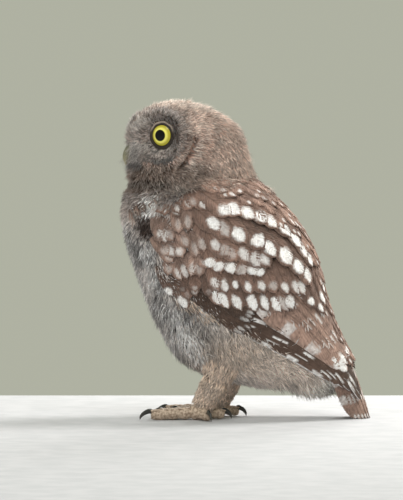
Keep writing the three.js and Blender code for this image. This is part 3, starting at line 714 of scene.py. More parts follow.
SHAFT_BROWN = tone(70, 54, 46)
EDGE_BROWN = tone(170, 146, 132)
BARB_BROWN = tone(62, 48, 42)
SPOT_WHITE = tone(232, 228, 226)
PURE_WHITE = tone(255, 255, 255)
SPOT_SHADE = tone(170, 150, 140)
DOWN = down_finish()
VANE = vane_finish()

HEAD_BROWN = tone(186, 150, 134)
HEAD_DARK = tone(88, 69, 60)
HEAD_PALE = tone(226, 214, 204)
# the nape's tone: partly its own paler colour, partly painted rim light from behind
NAPE = tone(220, 190, 174)
CHIN_BROWN = tone(116, 94, 82)
BREAST_GREY = tone(206, 196, 191)
BREAST_WHITE = tone(244, 242, 242)
STREAK = tone(70, 62, 62)
BELLY_BUFF = tone(248, 230, 218)
FLANK_BROWN = tone(204, 182, 164)
LEG_BUFF = tone(222, 198, 178)
VENT_WHITE = tone(244, 240, 232)
WING_BROWN = tone(134, 108, 96)
WING_DARK = tone(84, 67, 58)
MANTLE_BROWN = tone(150, 122, 109)
SECONDARY_BROWN = tone(160, 132, 119)
LESSER_BROWN = tone(156, 130, 118)
EAR_DARK = tone(52, 41, 36)
# painted shade tone for the forehead
FOREHEAD_SHADE = tone(108, 96, 90)
FACE_BROWN = tone(146, 122, 109)
FACE_DARK = tone(92, 73, 64)
FACE_PALE = tone(204, 192, 184)
FACE_SPECK = tone(60, 48, 42)
BROW_DARK = tone(70, 56, 50)
BROW_PALE = tone(206, 196, 188)
BRISTLE_PALE = tone(206, 198, 192)
BRISTLE_DARK = tone(64, 54, 48)


def blend(a, b, share):
    share = np.asarray(share)[..., None]
    return a * (1 - share) + b * share


def layered(colour, *layers):
    """Colours laid over a first one in turn, each by its share. A number makes the colour so far darker."""
    for over, share in layers:
        colour = blend(colour, over if np.ndim(over) else colour * over, share)
    return colour


def coat_colour(u, v, p):
    """Ground colour of head and body, for the skin and for the tufts, at a place on the body."""
    q = to_head(p)
    ahead, up = q[..., 0], q[..., 2]
    head = layered(
        HEAD_BROWN,
        # paler nape: partly its own colour, partly painted rim light from behind
        (NAPE, smooth(-ahead, -2, 18) * smooth(up, 20, -5)),
        # painted rim light: the top of the head paler
        (HEAD_PALE, 0.6 * smooth(up, 20, 31)),
        (CHIN_BROWN, smooth(up, -3, -7) * smooth(ahead, -14, 4)),
        # painted shade: a dark band round the neck, under the overhang of the head's plumage
        (HEAD_DARK, 0.7 * smooth(u, 5.4, 6.2) * smooth(u, 7.6, 6.6)),
    )
    chest = layered(
        BREAST_GREY,
        (HEAD_BROWN, smooth(u, 9.0, 7.2) * 0.45),
        (FLANK_BROWN, smooth(u, 10.4, 13.0) * smooth(np.abs(np.sin(v)), 0.45, 0.9) * 0.85),
        (BELLY_BUFF, smooth(u, 12.2, 13.6) * 0.6),
        (VENT_WHITE, smooth(u, 14.6, 16.0)),
        (MANTLE_BROWN, smooth(np.cos(v), 0.1, 0.5) * smooth(u, 12.5, 11.0)),
    )
    return blend(head, chest, smooth(u, 6.6, 8.2))


# Coat of the body

COAT_BED = -1.3
BODY = body_surface(COAT_BED)


def body_map(u, v):
    return np.stack([0.01 + 0.98 * ((v / (2 * math.pi)) % 1), 0.99 - 0.98 * (u + 1) / (LAST_HOOP + 1)], -1)


def cloak_place(p):
    """Where a point lies by the cloak: s, and the angle round it in degrees."""
    d = p - CLOAK_START
    s = d[..., 0] * math.cos(CLOAK_SLOPE) - d[..., 2] * math.sin(CLOAK_SLOPE)
    out = d[..., 0] * math.sin(CLOAK_SLOPE) + d[..., 2] * math.cos(CLOAK_SLOPE)
    place = (s - CLOAK_FIRST) / CLOAK_STEP
    middle = along(CLOAK_MIDDLE, place)
    out = out - middle
    reach = np.where(out > 0, along(CLOAK_BACK, place) - middle, along(CLOAK_FRONT, place))
    return s, np.degrees(np.arctan2(np.abs(d[..., 1]) / along(CLOAK_SIDE, place), out / reach))


WING_EDGE_AT = [3, 16, 35, 58, 80, 102, 120, 134]
WING_EDGE = [108, 122, 128, 120, 112, 107, 101, 92]


def bare_of_wing(p):
    """1 where the folded wings don't cover the body."""
    s, angle = cloak_place(p)
    edge = np.interp(s, WING_EDGE_AT, WING_EDGE) - np.interp(s, [35, 60], [15, 3])
    return 1 - (s > 10) * (s < 128) * (angle < edge)


def nearer_eye(q):
    """The front of the eye on each point's own side of the head."""
    one = np.ones(len(q))
    return EYE_FRONT * np.stack([one, np.where(q[:, 1] < 0, -1, 1), one], -1)


def head_lie(p):
    """Feathers lie away from the bill, round each eye away from the eye, and down at the nape."""
    q = to_head(p)
    d = q - nearer_eye(q)
    near = np.exp(-((np.linalg.norm(d, axis=-1, keepdims=True) / 16) ** 4))
    weight = smooth(-q[:, :1], -8, 24) * 1.3 + 0.12
    return head_direction(unit(q - BILL_ROOT) * (1 - near) + unit(d) * near - Z * weight * (1 - near))


EAR_UP = [-9, -5.2, 0.8, 8, 11]
EAR_FORWARD = [14, 10.6, 7.0, 4.6, 4.4]
CREASE_X = [-75, -54, -30, -12, 2]
CREASE_Z = [146, 142.5, 139.5, 134.5, 133]


def over_crease(p):
    return p[..., 2] - np.interp(p[..., 0], CREASE_X, CREASE_Z)


def crease_shadow(p):
    """Painted shadow in the fold below the head's plumage, where the head's feathers overhang the body."""
    return smooth(np.abs(over_crease(p)), 4.2, 1.6)


def over_fold(p):
    """The plumage just above that fold, which hangs over it."""
    return smooth(over_crease(p), 1, 4) * smooth(over_crease(p), 11, 6)


def eye_distance(q):
    return np.minimum(*[np.linalg.norm(q - EYE_FRONT * [1, k, 1], axis=-1) for k in (-1, 1)])


def bill_distance(q):
    return np.linalg.norm(q - BILL_ROOT, axis=-1)


HEAD_REGIONS = {"head_plumage_crown": ((-1, 3.0), 3900), "head_plumage_side": ((3.0, 6.5), 4100)}


def head_coat():
    rng = np.random.default_rng(11)

    def off_the_face(u, v, p):
        q = to_head(p)
        return (eye_distance(q) > 14.5) * (bill_distance(q) > 11)

    for name, (u_range, count) in HEAD_REGIONS.items():
        shape = Shape()
        u, v = scatter(BODY, u_range, AROUND, count, rng, off_the_face)
        p = BODY(u, v)
        ahead, _, up = to_head(p).T
        streak = noise(v * 13, u * 1.3, 3)
        share = rng.random(count)
        crown, nape = smooth(up, 4, 16), smooth(-ahead, 6, 26)
        # painted shade: the forehead darker and greyer, with its pale tips cut back
        shaded_forehead = smooth(ahead, 4, 14) * smooth(up, 29, 22) * smooth(up, 0, 6)
        beard = smooth(up, -4, -8) * smooth(ahead, -10, 4)
        behind = np.interp(up, EAR_UP, EAR_FORWARD) - ahead
        level = smooth(up, -9, -6) * smooth(up, 11, 8)
        line = level * smooth(np.abs(behind - 0.2), 1.0, 0.3) * (1 - 0.5 * smooth(up, 1, 7))
        colour = layered(
            coat_colour(u, v, p),
            # painted shade over the forehead
            (FOREHEAD_SHADE, 0.9 * shaded_forehead),
            (HEAD_DARK, (0.35 + 0.3 * crown) * smooth(streak, 0.5, 0.8)),
            (HEAD_PALE, 0.4 * crown * smooth(streak, 0.4, 0.15)),
            (0.5, share < 0.15),
            (HEAD_PALE, 0.5 * (share > 0.87)),
            (EAR_DARK, 0.9 * line),
            (HEAD_DARK, 0.6 * level * smooth(behind, -5, -1) * (behind < 0)),
            (HEAD_PALE, 0.5 * level * smooth(behind, 1.0, 1.8) * smooth(behind, 4.5, 2.5)),
            (CHIN_BROWN, 0.2 * beard),
            # painted shadow in the fold under the head
            (0.3, 0.9 * crease_shadow(p)),
        )
        length = 6.0 + 5.0 * nape + 1.8 * rng.random(count)
        short = level * (behind < 1.0) * (behind > -6)
        length = np.where(short > 0.1, np.clip(0.8 - behind, 1.5, length), length)
        stray = rng.random(count) ** 12
        stand = 0.2 + 0.9 * rng.random(count) ** 3 + 0.2 * crown * rng.random(count) + 2.4 * stray
        stand = stand + 1.8 * nape * rng.random(count) ** 6
        pale_tips = 0.5 * (1 - line) * (1 - 0.4 * beard) * (1 - 0.6 * shaded_forehead)
        add_tufts(shape, BODY, u, v, head_lie(p), rng, colour, body_map, length, 0.56, root=2.0,
                  tip=0.4 - 0.3 * crown + 0.5 * nape + 0.8 * over_fold(p),
                  lift=stand * (1 - short) + over_fold(p), fan=0.3, wild=0.11,
                  tip_colour=blend(colour, HEAD_PALE, pale_tips))
        shape.piece(name, DOWN, "head_down")


def face_coat():
    """Short feathers that ring the eyes and the bill."""
    rng = np.random.default_rng(12)

    def on_the_face(u, v, p):
        q = to_head(p)
        eye = eye_distance(q)
        return ((eye < 15.5) | (bill_distance(q) < 11.5)) * (eye > 8.0)

    count = 3300
    shape = Shape()
    u, v = scatter(BODY, (0.5, 6.5), (0.5 * math.pi, 1.5 * math.pi), count, rng, on_the_face, (500, 500))
    p = BODY(u, v)
    q = to_head(p)
    ahead, up = q[:, 0], q[:, 2]
    d = q - nearer_eye(q)
    before, above, eye = d[:, 0], d[:, 2], np.linalg.norm(d, axis=-1)
    below = smooth(-above, 0, 7)
    dark = rng.random(count) < 0.28 + 0.15 * below
    chin_line = smooth(np.abs(up + 4.0 + 0.08 * (ahead - 20)), 2.6, 1.4) * smooth(ahead, 6, 12)
    brow_line = smooth(np.abs(above - 8 + 0.5 * np.maximum(before, 0)), 3.5, 1.5) * smooth(before, 1, 5)
    colour = layered(
        FACE_BROWN,
        (FACE_DARK, 0.9 * smooth(-before, 0, 8) * smooth(eye, 17, 9)),
        (FACE_PALE, 0.8 * np.maximum(below * smooth(eye, 15, 9), 0.45 * smooth(before, 1, 8))),
        (FACE_SPECK, 0.85 * dark),
        (BROW_DARK, 0.5 * smooth(above, 5, 8) * smooth(eye, 14, 9)),
        (CHIN_BROWN, 0.8 * smooth(up, -5, -9)),
        (EAR_DARK, 0.9 * chin_line),
        (BROW_PALE, 0.6 * brow_line),
        # painted shade over the upper front of the face, by the forehead
        (0.7, smooth(up, 7, 13) * smooth(ahead, 10, 18)),
    )
    forward = smooth(ahead, 25, 30)
    length = 2.6 + 2.6 * smooth(eye, 7, 13) * rng.random(count) + 0.8 * rng.random(count) + 2 * forward
    add_tufts(shape, BODY, u, v, head_lie(p), rng, colour, body_map, length, 0.44, root=0.9,
              tip=0.5 + 0.8 * forward, lift=0.3 + 3.6 * forward * rng.random(count) ** 2, fan=0.2,
              tip_colour=blend(colour, WHITE, 0.25))
    shape.piece("face_plumage", DOWN, "head_down")


def bristles():
    """Long stiff bristles that stand forward round the bill and half hide it."""
    rng = np.random.default_rng(13)

    def round_the_bill(u, v, p):
        q = to_head(p)
        return (bill_distance(q) < 12) * (np.abs(q[:, 1]) > 2.2) * (eye_distance(q) > 8.5) * (q[:, 2] > -3)

    count = 700
    shape = Shape()
    u, v = scatter(BODY, (1.5, 6), (0.7 * math.pi, 1.35 * math.pi), count, rng, round_the_bill, (400, 400))
    q = to_head(BODY(u, v))
    target = BILL_ROOT + np.array([8, 0, -3])
    lie = head_direction(unit(target + q * np.array([0, 1, 0]) * 1.5 - q))
    near = smooth(bill_distance(q), 12, 4)
    colour = blend(BRISTLE_PALE, BRISTLE_DARK, 0.9 * (rng.random(count) < 0.3 + 0.6 * smooth(q[:, 2], 3, -1)))
    add_tufts(shape, BODY, u, v, lie, rng, colour, body_map, 6 + 4 * rng.random(count), 0.3, root=0.8,
              tip=1.2 + 3.6 * near * rng.random(count), lift=0.8 + 4.0 * near * rng.random(count), fan=0.22,
              wild=0.22, tip_colour=blend(colour, WHITE, 0.2))
    shape.piece("bill_bristles", DOWN, "head_down")


# For each stretch of the body: its hoops, count, length, width, depth of the roots and height of the tips
BODY_REGIONS = {
    "neck_plumage": ((6.2, 8.6), 3000, 8.5, 0.9, 2.4, 0.9),
    "breast_plumage": ((8.4, 11.2), 4100, 11.5, 0.78, 3.0, 0.9),
    "belly_plumage": ((11.0, 14.2), 3900, 13.5, 0.8, 3.0, 1.1),
    "vent_plumage": ((14.0, 16.9), 2300, 14.0, 0.8, 2.4, 1.6),
}
TUFT_ANGLE = 136
TUFT_LEVEL = 131
HOLLOW_LEVEL = 119.5


def body_coat():
    """Neck, breast, belly and vent, each a piece of its own, longer and softer further down."""
    for number, (name, region) in enumerate(BODY_REGIONS.items()):
        u_range, count, length, width, root, tip = region
        rng = np.random.default_rng(20 + number)
        shape = Shape()
        u, v = scatter(BODY, u_range, AROUND, count, rng, lambda u, v, p: bare_of_wing(p))
        p, pu, _, _ = slopes(BODY, u, v)
        lines = noise(v * 14, u * 1.1, 5)
        front = smooth(-np.cos(v) - 0.3 * smooth(u, 10.5, 12.5), 0.0, 0.5)
        streaked = smooth(u, 7.4, 8.4) * smooth(u, 14.2, 12.2) * front
        from_leg = np.where([False, True, False], np.abs(p), p) - LEG_TOP
        trousers = smooth(np.linalg.norm(from_leg, axis=-1), 24, 9)
        patch = smooth(np.abs(np.abs((np.degrees(v) + 180) % 360 - 180) - TUFT_ANGLE), 13, 7)
        # painted shade in the hollow below the white tuft, where tufts are also shorter and less pale at the
        # tips
        shaded_hollow = patch * smooth(np.abs(p[:, 2] - HOLLOW_LEVEL), 8, 5)
        colour = layered(
            coat_colour(u, v, p),
            (BREAST_WHITE, streaked * smooth(lines, 0.5, 0.25)),
            (STREAK * 0.8, streaked * smooth(lines, 0.56, 0.62) * 0.95),
            (0.7, smooth(noise(v * 15, u * 1.7, 9), 0.5, 0.75) * 0.8),
            (LEG_BUFF * 0.9, 0.8 * trousers),
            # painted shadow in the fold under the head
            (0.4, 0.8 * crease_shadow(p)),
            (WHITE, patch * smooth(np.abs(p[:, 2] - TUFT_LEVEL), 8, 4) * (rng.random(count) < 0.85)),
            # painted shade in the hollow
            (EAR_DARK * 1.6, 0.9 * shaded_hollow * (rng.random(count) < 0.85)),
        )
        size = length * (0.75 + 0.5 * rng.random(count)) * (1 - 0.35 * shaded_hollow)
        hang = smooth(u, 13.6, 14.8)
        lie = unit(pu) - Z * 0.7 * hang[:, None]
        add_tufts(shape, BODY, u, v, lie, rng, colour, body_map, size, width, root=root, tip=tip,
                  lift=0.5 + (2.2 + 3.4 * hang) * rng.random(count) ** 4, fan=0.34, wild=0.17,
                  tip_colour=blend(colour, WHITE, 0.25 * (1 - shaded_hollow)))
        shape.piece(name, DOWN, "breast_down")


def cloak_map(u, v):
    return np.stack([(v + 135) / 270, (u + 40) / 220], -1)


def collar_coat():
    """Loose feathers from the nape and the sides of the neck, over the roots of the mantle."""
    rng = np.random.default_rng(40)
    shape = Shape()
    count = 2000
    reach = lambda u, v, p: u < np.interp(np.abs(v), [0, 45, 62, 85, 100], [8, 6, -5, -13, -18])
    u, v = scatter(cloak_skin, (-19, 8), (-118, 118), count, rng, reach, (60, 200))
    p, pu, pv, _ = slopes(cloak_skin, u, v)
    aside = np.abs(v)
    colour = layered(
        NAPE * 0.8,
        (MANTLE_BROWN, smooth(aside, 30, 80) * 0.6),
        (HEAD_DARK, 0.75 * smooth(noise(v / 7, u / 9, 4), 0.5, 0.8)),
        (HEAD_PALE, 0.7 * smooth(noise(v / 5, u / 7, 8), 0.66, 0.8)),
        (HEAD_DARK, 0.45 * smooth(aside, 55, 85)),
        # painted shadow in the fold under the head
        (0.3, 0.9 * crease_shadow(p)),
    )
    lie = unit(pu) + unit(pv) * (np.sign(v) * 0.12)[:, None]
    add_tufts(shape, cloak_skin, u, v, lie, rng, colour, cloak_map, 9 + 4 * rng.random(count), 0.9, root=2.2,
              tip=0.9 + 0.8 * rng.random(count), lift=0.5 + 0.8 * rng.random(count) ** 3, fan=0.3, wild=0.15,
              tip_colour=blend(colour, HEAD_PALE, 0.25))
    shape.piece("collar_plumage", DOWN, "head_down")


def edge_coat():
    """Feathers of the breast that lap over the front edge of the wings."""
    rng = np.random.default_rng(41)
    shape = Shape()
    count = 330
    at_the_edge = lambda u, v, p: np.abs(np.abs(v) - np.interp(u, WING_EDGE_AT, WING_EDGE) - 3.5) < 3
    u, v = scatter(cloak_skin, (6, 62), (-135, 135), count, rng, at_the_edge, (60, 270))
    _, pu, pv, _ = slopes(cloak_skin, u, v)
    share = rng.random(count)
    colour = layered(
        BREAST_GREY,
        (FLANK_BROWN, smooth(u, 20, 45)),
        (STREAK, 0.85 * (share < 0.35)),
        (BREAST_WHITE, 0.6 * (share > 0.85)),
    )
    lie = unit(pu) - unit(pv) * (np.sign(v) * 0.12)[:, None]
    add_tufts(shape, cloak_skin, u, v, lie, rng, colour, cloak_map, 8 + 4 * rng.random(count), 0.7, root=2.8,
              tip=0.5 + 0.6 * rng.random(count), lift=0.4, fan=0.3, wild=0.15,
              tip_colour=blend(colour, WHITE, 0.1))
    shape.piece("wing_front_plumage", DOWN, "breast_down")


# Form, count, length at the top and at the end, depth of the roots, and where the map starts
LEG_REGIONS = [(THIGH, 1000, 12, 9, 2.0, 0.0), (SHANK, 800, 8, 4.5, 1.2, 0.5)]


def leg_coat():
    """Short feathers of thigh and shank, each with half of the piece's map."""
    for side, name in SIDES:
        rng = np.random.default_rng(30 + side)
        shape = Shape()
        for form, count, longest, shortest, root, low in LEG_REGIONS:
            surface = limb_surface(**form, side=side)
            u, v = scatter(surface, (0.0, 1.0), AROUND, count, rng, cells=(80, 120))
            _, pu, _, _ = slopes(surface, u, v)
            colour = blend(LEG_BUFF, LEG_BUFF * 0.62, smooth(noise(v * 3, u * 5, 2), 0.4, 0.8))
            length = (longest + (shortest - longest) * u) * (0.8 + 0.4 * rng.random(count))
            turn = lambda b: (b / (2 * math.pi)) % 1
            unwrap = lambda a, b: np.stack([low + 0.005 + 0.48 * turn(b), 0.98 - 0.9 * a], -1)
            add_tufts(shape, surface, u, v, unit(pu), rng, colour, unwrap, length, 0.66, root=root, tip=0.35,
                      lift=0.2, fan=0.22, tip_colour=blend(colour, WHITE, 0.2))
        shape.piece("leg_plumage_" + name, DOWN, "leg_down")


# Wings, mantle and tail. Tiers, lowest first, give [s, angle] of the roots and the tips of their first,
# middle and last feather, then count, breadth, heights of root and tip, ground colour, and the spot: its
# middle along and across, how white it is, its two radii and its softness. Bars are count, edge and strength.

NO_BARS = (0, 0, 0)
TIERS = {
    "primaries": (
        [[52, 121], [52, 115], [52, 108]], [[139, 93], [149, 76], [157, 40]], 6, 8.2, (-1.3, 0.1),
        WING_DARK, (1.0, 0, 0, 0.1, 0.5, 0.2),
        dict(wide=FLIGHT_WIDE, loose=0.0, spacing=14, bars=(5.0, -0.18, 1.0)),
    ),
    "secondaries": (
        [[50, 104], [62, 82], [66, 40]], [[134, 68], [138, 48], [134, 16]], 8, 13, (-1.3, 0.3),
        SECONDARY_BROWN, (0.965, -0.2, 1.0, 0.045, 0.75, 0.15),
        dict(wide=FLIGHT_WIDE, loose=0.02, spacing=7, bars=(4.6, -0.2, 0.7)),
    ),
    "primary_coverts": (
        [[36, 122], [37, 116], [39, 110]], [[80, 114], [80, 107], [76, 101]], 6, 7.5, (-1.1, 0.3),
        WING_DARK, (0.97, -0.2, 0.5, 0.06, 0.5, 0.3), {},
    ),
    "alula": (
        [[18, 126], [22, 124], [27, 123]], [[37, 130], [43, 129], [49, 128]], 2, 8, (-0.9, 0.9),
        WING_BROWN * 0.8, (0.84, -0.35, 1.0, 0.17, 0.7, 0.12), {},
    ),
    "greater_coverts": (
        [[36, 104], [56, 89], [68, 66]], [[59, 112], [79, 97], [89, 77]], 8, 10, (-1.0, 0.5),
        WING_BROWN, (0.82, -0.1, 1.0, 0.22, 0.54, 0.12), {},
    ),
    "median_coverts": (
        [[34, 99], [50, 80], [66, 50]], [[53, 107], [70, 88], [88, 57]], 9, 9.5, (-0.9, 0.75),
        WING_BROWN, (0.82, 0, 0.85, 0.15, 0.5, 0.22), {},
    ),
    "upper_coverts": (
        [[22, 94], [34, 82], [44, 72]], [[40, 102], [52, 92], [62, 81]], 6, 10, (-0.8, 0.95),
        WING_BROWN, (0.86, -0.1, 1.0, 0.14, 0.85, 0.14), {},
    ),
    "lesser_coverts_4": (
        [[27, 119], [32, 112], [37, 104]], [[42, 125], [47, 117], [51, 110]], 6, 8.5, (-0.9, 0.8),
        WING_BROWN * 0.9, (0.9, 0, 0.35, 0.12, 0.5, 0.3), dict(loose_place=1.0),
    ),
    "lesser_coverts_3": (
        [[15, 116], [20, 107], [24, 98]], [[29, 121], [34, 113], [38, 104]], 7, 8.5, (-0.8, 0.9),
        LESSER_BROWN, (0.8, 0, 0.6, 0.17, 0.5, 0.25), dict(loose_place=1.0),
    ),
    "lesser_coverts_2": (
        [[4, 118], [8, 107], [12, 95]], [[18, 118], [22, 110], [27, 100]], 7, 8.5, (-0.7, 1.0),
        LESSER_BROWN, (0.78, 0, 0.65, 0.2, 0.55, 0.25), dict(loose_place=1.0),
    ),
    "lesser_coverts_1": (
        [[-6, 109], [-4, 101], [-2, 90]], [[8, 115], [11, 107], [15, 97]], 7, 8.5, (-0.6, 1.0),
        LESSER_BROWN, (0.78, 0, 0.6, 0.2, 0.5, 0.25), dict(loose_place=1.0),
    ),
    "shoulder_coverts": (
        [[-15, 99], [-12, 87], [-9, 74]], [[-3, 104], [3, 93], [10, 79]], 7, 9, (-2.6, 1.0),
        WING_BROWN, (0.82, 0, 0.55, 0.16, 0.45, 0.3), dict(loose_place=1.0),
    ),
    "lower_scapulars": (
        [[9, 90], [20, 80], [33, 68]], [[36, 93], [47, 84], [61, 71]], 6, 11, (-0.65, 1.2),
        WING_BROWN, (0.84, 0, 0.75, 0.14, 0.6, 0.2), dict(loose_place=0.5),
    ),
    "middle_scapulars": (
        [[0, 84], [27, 61], [57, 40]], [[26, 84], [54, 64], [84, 45]], 8, 13, (-0.45, 1.4),
        WING_BROWN, (0.8, 0, 1.0, 0.17, 0.6, 0.14), dict(loose_place=0.4),
    ),
    "inner_scapulars": (
        [[58, 12], [66, 30], [70, 46]], [[97, 17], [104, 33], [98, 50]], 4, 14, (-0.8, 0.8),
        WING_BROWN, (0.88, -0.35, 1.0, 0.08, 0.4, 0.2), {},
    ),
    "upper_scapulars": (
        [[-3, 68], [20, 43], [50, 24]], [[23, 67], [47, 43], [78, 32]], 9, 12, (-0.35, 1.6),
        WING_BROWN, (0.82, 0, 1.0, 0.17, 0.66, 0.15), dict(loose_place=0.4),
    ),
    "mantle_side": (
        [[-6, 56], [10, 30], [40, 8]], [[12, 54], [32, 30], [64, 12]], 9, 10, (-0.3, 1.7),
        MANTLE_BROWN, (0.88, -0.2, 0.7, 0.09, 0.35, 0.3), dict(loose_place=1.0),
    ),
}
WING_PIECES = {
    "flight": ("primaries", "secondaries"),
    "coverts": ("primary_coverts", "alula", "greater_coverts", "median_coverts", "upper_coverts"),
    "lesser_coverts": (
        "lesser_coverts_4", "lesser_coverts_3", "lesser_coverts_2", "lesser_coverts_1", "shoulder_coverts",
    ),
    "scapulars": ("lower_scapulars", "middle_scapulars", "inner_scapulars", "upper_scapulars", "mantle_side"),
}
LENGTH_VARIES = 0.04
BREADTH_VARIES = 0.08


def tints(rng, count, spread):
    return np.clip(0.5 + spread * rng.normal(size=count), 0, 1)


def add_tier(shape, rng, side, roots, tips, count, breadth, lift, ground, spot, bars=NO_BARS,
             loose_place=0.15, **form):
    """One row of feathers. loose_place is how untidily they lie."""
    place = np.linspace(0, 2, count)
    root, tip = along(roots, place), along(tips, place)
    varies = lambda share: 1 + share * (2 * rng.random(count) - 1)
    root = root + loose_place * rng.normal(size=(count, 2)) * [1.8, 2.2]
    tip = root + (along(tips, place) - root) * varies(LENGTH_VARIES)[:, None]
    tip = tip + loose_place * rng.normal(size=(count, 2)) * [1.8, 1.8]
    x, y, level, rx, ry, soft = spot
    dull = np.where(rng.random(count) < 0.5 * loose_place, 0.45, 1.0)
    x, y = x * varies(0.03), y + 0.14 * (2 * rng.random(count) - 1)
    centre = np.stack([x, y, level * dull * varies(0.1)], -1)
    size = np.stack([rx * varies(0.2), ry * varies(0.2), soft + 0.16 * varies(0.5)], -1)
    tint = tints(rng, count, 0.2)
    add_vanes(shape, root, tip, rng, breadth * varies(BREADTH_VARIES), lift, side=side, spot=centre,
              spot_size=size, bars=np.array([bars]), ground=ground[None], tint=tint, **form)


CORE_ROWS, CORE_COLUMNS = 60, 40
CORE_BACK_AT = [3, 16, 35, 58, 80, 102, 134]
CORE_BACK = [50, 34, 20, 12, 9, 8, 18]
CORE_TOP, CORE_UNDER = 1.9, 3.4


def wing_core(side):
    """The wing's own body under its feathers."""
    shape = Shape()
    rows, columns, sheet = CORE_ROWS, CORE_COLUMNS, CORE_ROWS * CORE_COLUMNS
    s = np.linspace(4, 132, rows)
    edge = np.interp(s, WING_EDGE_AT, WING_EDGE) - np.interp(s, [30, 70], [12, 3])
    near = np.interp(s, CORE_BACK_AT, CORE_BACK)
    share = np.linspace(0, 1, columns)
    u = np.repeat(s[:, None], columns, 1)
    v = near[:, None] + (edge - near)[:, None] * share
    p, _, _, n = slopes(cloak_skin, u, v)
    rounded = np.minimum(np.sin(np.pi * share) * 5, 1)[None, :, None]
    top, under = p - n * (CORE_TOP + 1.2 * (1 - rounded)), p - n * CORE_UNDER
    points = np.concatenate([top.reshape(-1, 3), under.reshape(-1, 3)])
    upper = grid_faces(rows, columns)
    number = np.arange(sheet).reshape(rows, columns)
    ring = np.concatenate([number[0, :-1], number[:-1, -1], number[-1, :0:-1], number[:0:-1, 0]])
    after = np.roll(ring, -1)
    rim = np.stack([ring, after, after + sheet, ring + sheet], -1)
    faces = np.concatenate([upper, upper[:, ::-1] + sheet, rim[:, ::-1]])
    if side > 0:
        points, faces = points * MIRROR, faces[:, ::-1]
    home = cloak_patch(np.tile(u.ravel(), 2), np.tile(v.ravel(), 2))
    home[sheet:, 0] = 1 - home[sheet:, 0] * 0.1
    none = np.zeros((1, 3))
    shape.add(points, [faces], home, along=0.2, across=0.5, tint=0.5, ground=WING_BROWN[None], spot=none,
              spot_size=none + 1, bars=none)
    return shape


def wings():
    for side, name in SIDES:
        wing_core(side).piece(f"wing_{name}_core", VANE, "wing_feathers", [f"wing_{name}"])
        for number, (part, tiers) in enumerate(WING_PIECES.items()):
            shape = Shape()
            rng = np.random.default_rng(100 + 10 * number + side)
            for tier in tiers:
                *row, more = TIERS[tier]
                add_tier(shape, rng, side, *row, **more)
            shape.piece(f"wing_{name}_{part}", VANE, "wing_feathers")


MANTLE_ROWS = 14
MANTLE_FIRST, MANTLE_STEP = -12, 10
MANTLE_ALONG = [-14, 60, 80, 125]
MANTLE_REACH = [62, 20, 15, 34]


def mantle():
    """The feathers between the wings, down the middle of the back."""
    rng = np.random.default_rng(140)
    shape = Shape()
    for row in range(MANTLE_ROWS):
        start = MANTLE_FIRST + MANTLE_STEP * row
        count = (10 if start < 70 else 6) - row % 2
        reach = np.interp(start, MANTLE_ALONG, MANTLE_REACH)
        angle = np.linspace(-1, 1, count) * reach + 1.5 * rng.normal(size=count)
        low = np.interp(start, [60, 75], [0, 0.8])
        root = np.stack([start + 1.5 * rng.normal(size=count), angle], -1)
        tip = root + np.stack([19 + 4 * rng.random(count), 2 * rng.normal(size=count)], -1)
        spot = np.array([[0.9, 0, 0.6]]) * np.ones((count, 1))
        spot[:, 2] *= rng.random(count) < 0.45
        add_vanes(shape, root, tip, rng, 9.5, (-0.6 - low, 1.5 - low), tilt=0.0, spot=spot,
                  spot_size=np.array([[0.07, 0.3, 0.35]]), bars=np.array([NO_BARS]),
                  ground=MANTLE_BROWN[None], tint=tints(rng, count, 0.22))
    shape.piece("mantle_feathers", VANE, "wing_feathers")


TAIL_START = 112.0
TAIL_ENDS = np.linspace(140, 179, 400)
TAIL_CLEAR = 0.8
TAIL_ANGLES = [(70, 84), (58, 71), (45, 57), (32, 42), (18, 27), (6, 9)]
TAIL_SUNK = [5.9, 5.6, 5.3, 4.9, 4.5, 4.1]


def tail():
    """Six feathers each side, the middle pair on top, down to the floor."""
    shape = Shape()
    rng = np.random.default_rng(150)
    for side in (-1, 1):
        for (root, tip), sunk in zip(TAIL_ANGLES, TAIL_SUNK):
            level = cloak_skin(TAIL_ENDS, np.full(len(TAIL_ENDS), float(tip)))[:, 2]
            end = TAIL_ENDS[np.argmax(level < TAIL_CLEAR)] if (level < TAIL_CLEAR).any() else 178
            lift = (-sunk, -1.3 + 0.14 * (4 - sunk))
            root, tip = np.array([[TAIL_START, root]]), np.array([[end, tip]])
            add_vanes(shape, root, tip, rng, 9.0, lift, camber=0.4, wide=FLIGHT_WIDE, side=side, cell=0.03,
                      spot=np.array([[0.99, 0, 0.8]]),
                      spot_size=np.array([[0.03, 0.7, 0.35]]), bars=np.array([[4.5, -0.2, 0.6]]),
                      ground=SECONDARY_BROWN[None], tint=rng.random(1) * 0.4 + 0.3)
    shape.piece("tail_feathers", VANE, "wing_feathers", ["tail"])


# Eyes, lids, bill

def eye_ring(side, around):
    """An eye's axis and centre, and the directions at angles round the axis."""
    axis = eye_axis(side, GAZE_ASIDE)
    right = unit(np.cross(Z, axis))
    ring = right * np.cos(around)[..., None] + np.cross(axis, right) * np.sin(around)[..., None]
    return axis, eye_centre(side), ring


def eye_finish():
    f = Finish("eye", 0.5, Coat_Weight=0.35, Coat_Roughness=0.02, IOR=1.2)
    polar, around = f.read("polar"), f.read("around")
    rays = f.math("SINE", f.times(f.plus(around, f.times(f.noise(900.0), 0.05)), 500.0))
    colour = f.mix(f.ease(rays, -1.0, 1.0, 0.0, 0.3), tone(240, 232, 118), tone(214, 202, 76))
    colour = f.mix(f.ease(polar, 0.62, 0.86), colour, tone(186, 174, 60))
    colour = f.mix(f.ease(polar, 0.96, 1.03), colour, tone(26, 22, 16))
    return f.done(f.mix(f.ease(polar, 0.5, 0.53, 1.0, 0.0), colour, tone(3, 3, 5)))


IRIS_ANGLE = math.radians(46)
EYE_COLUMNS = 64


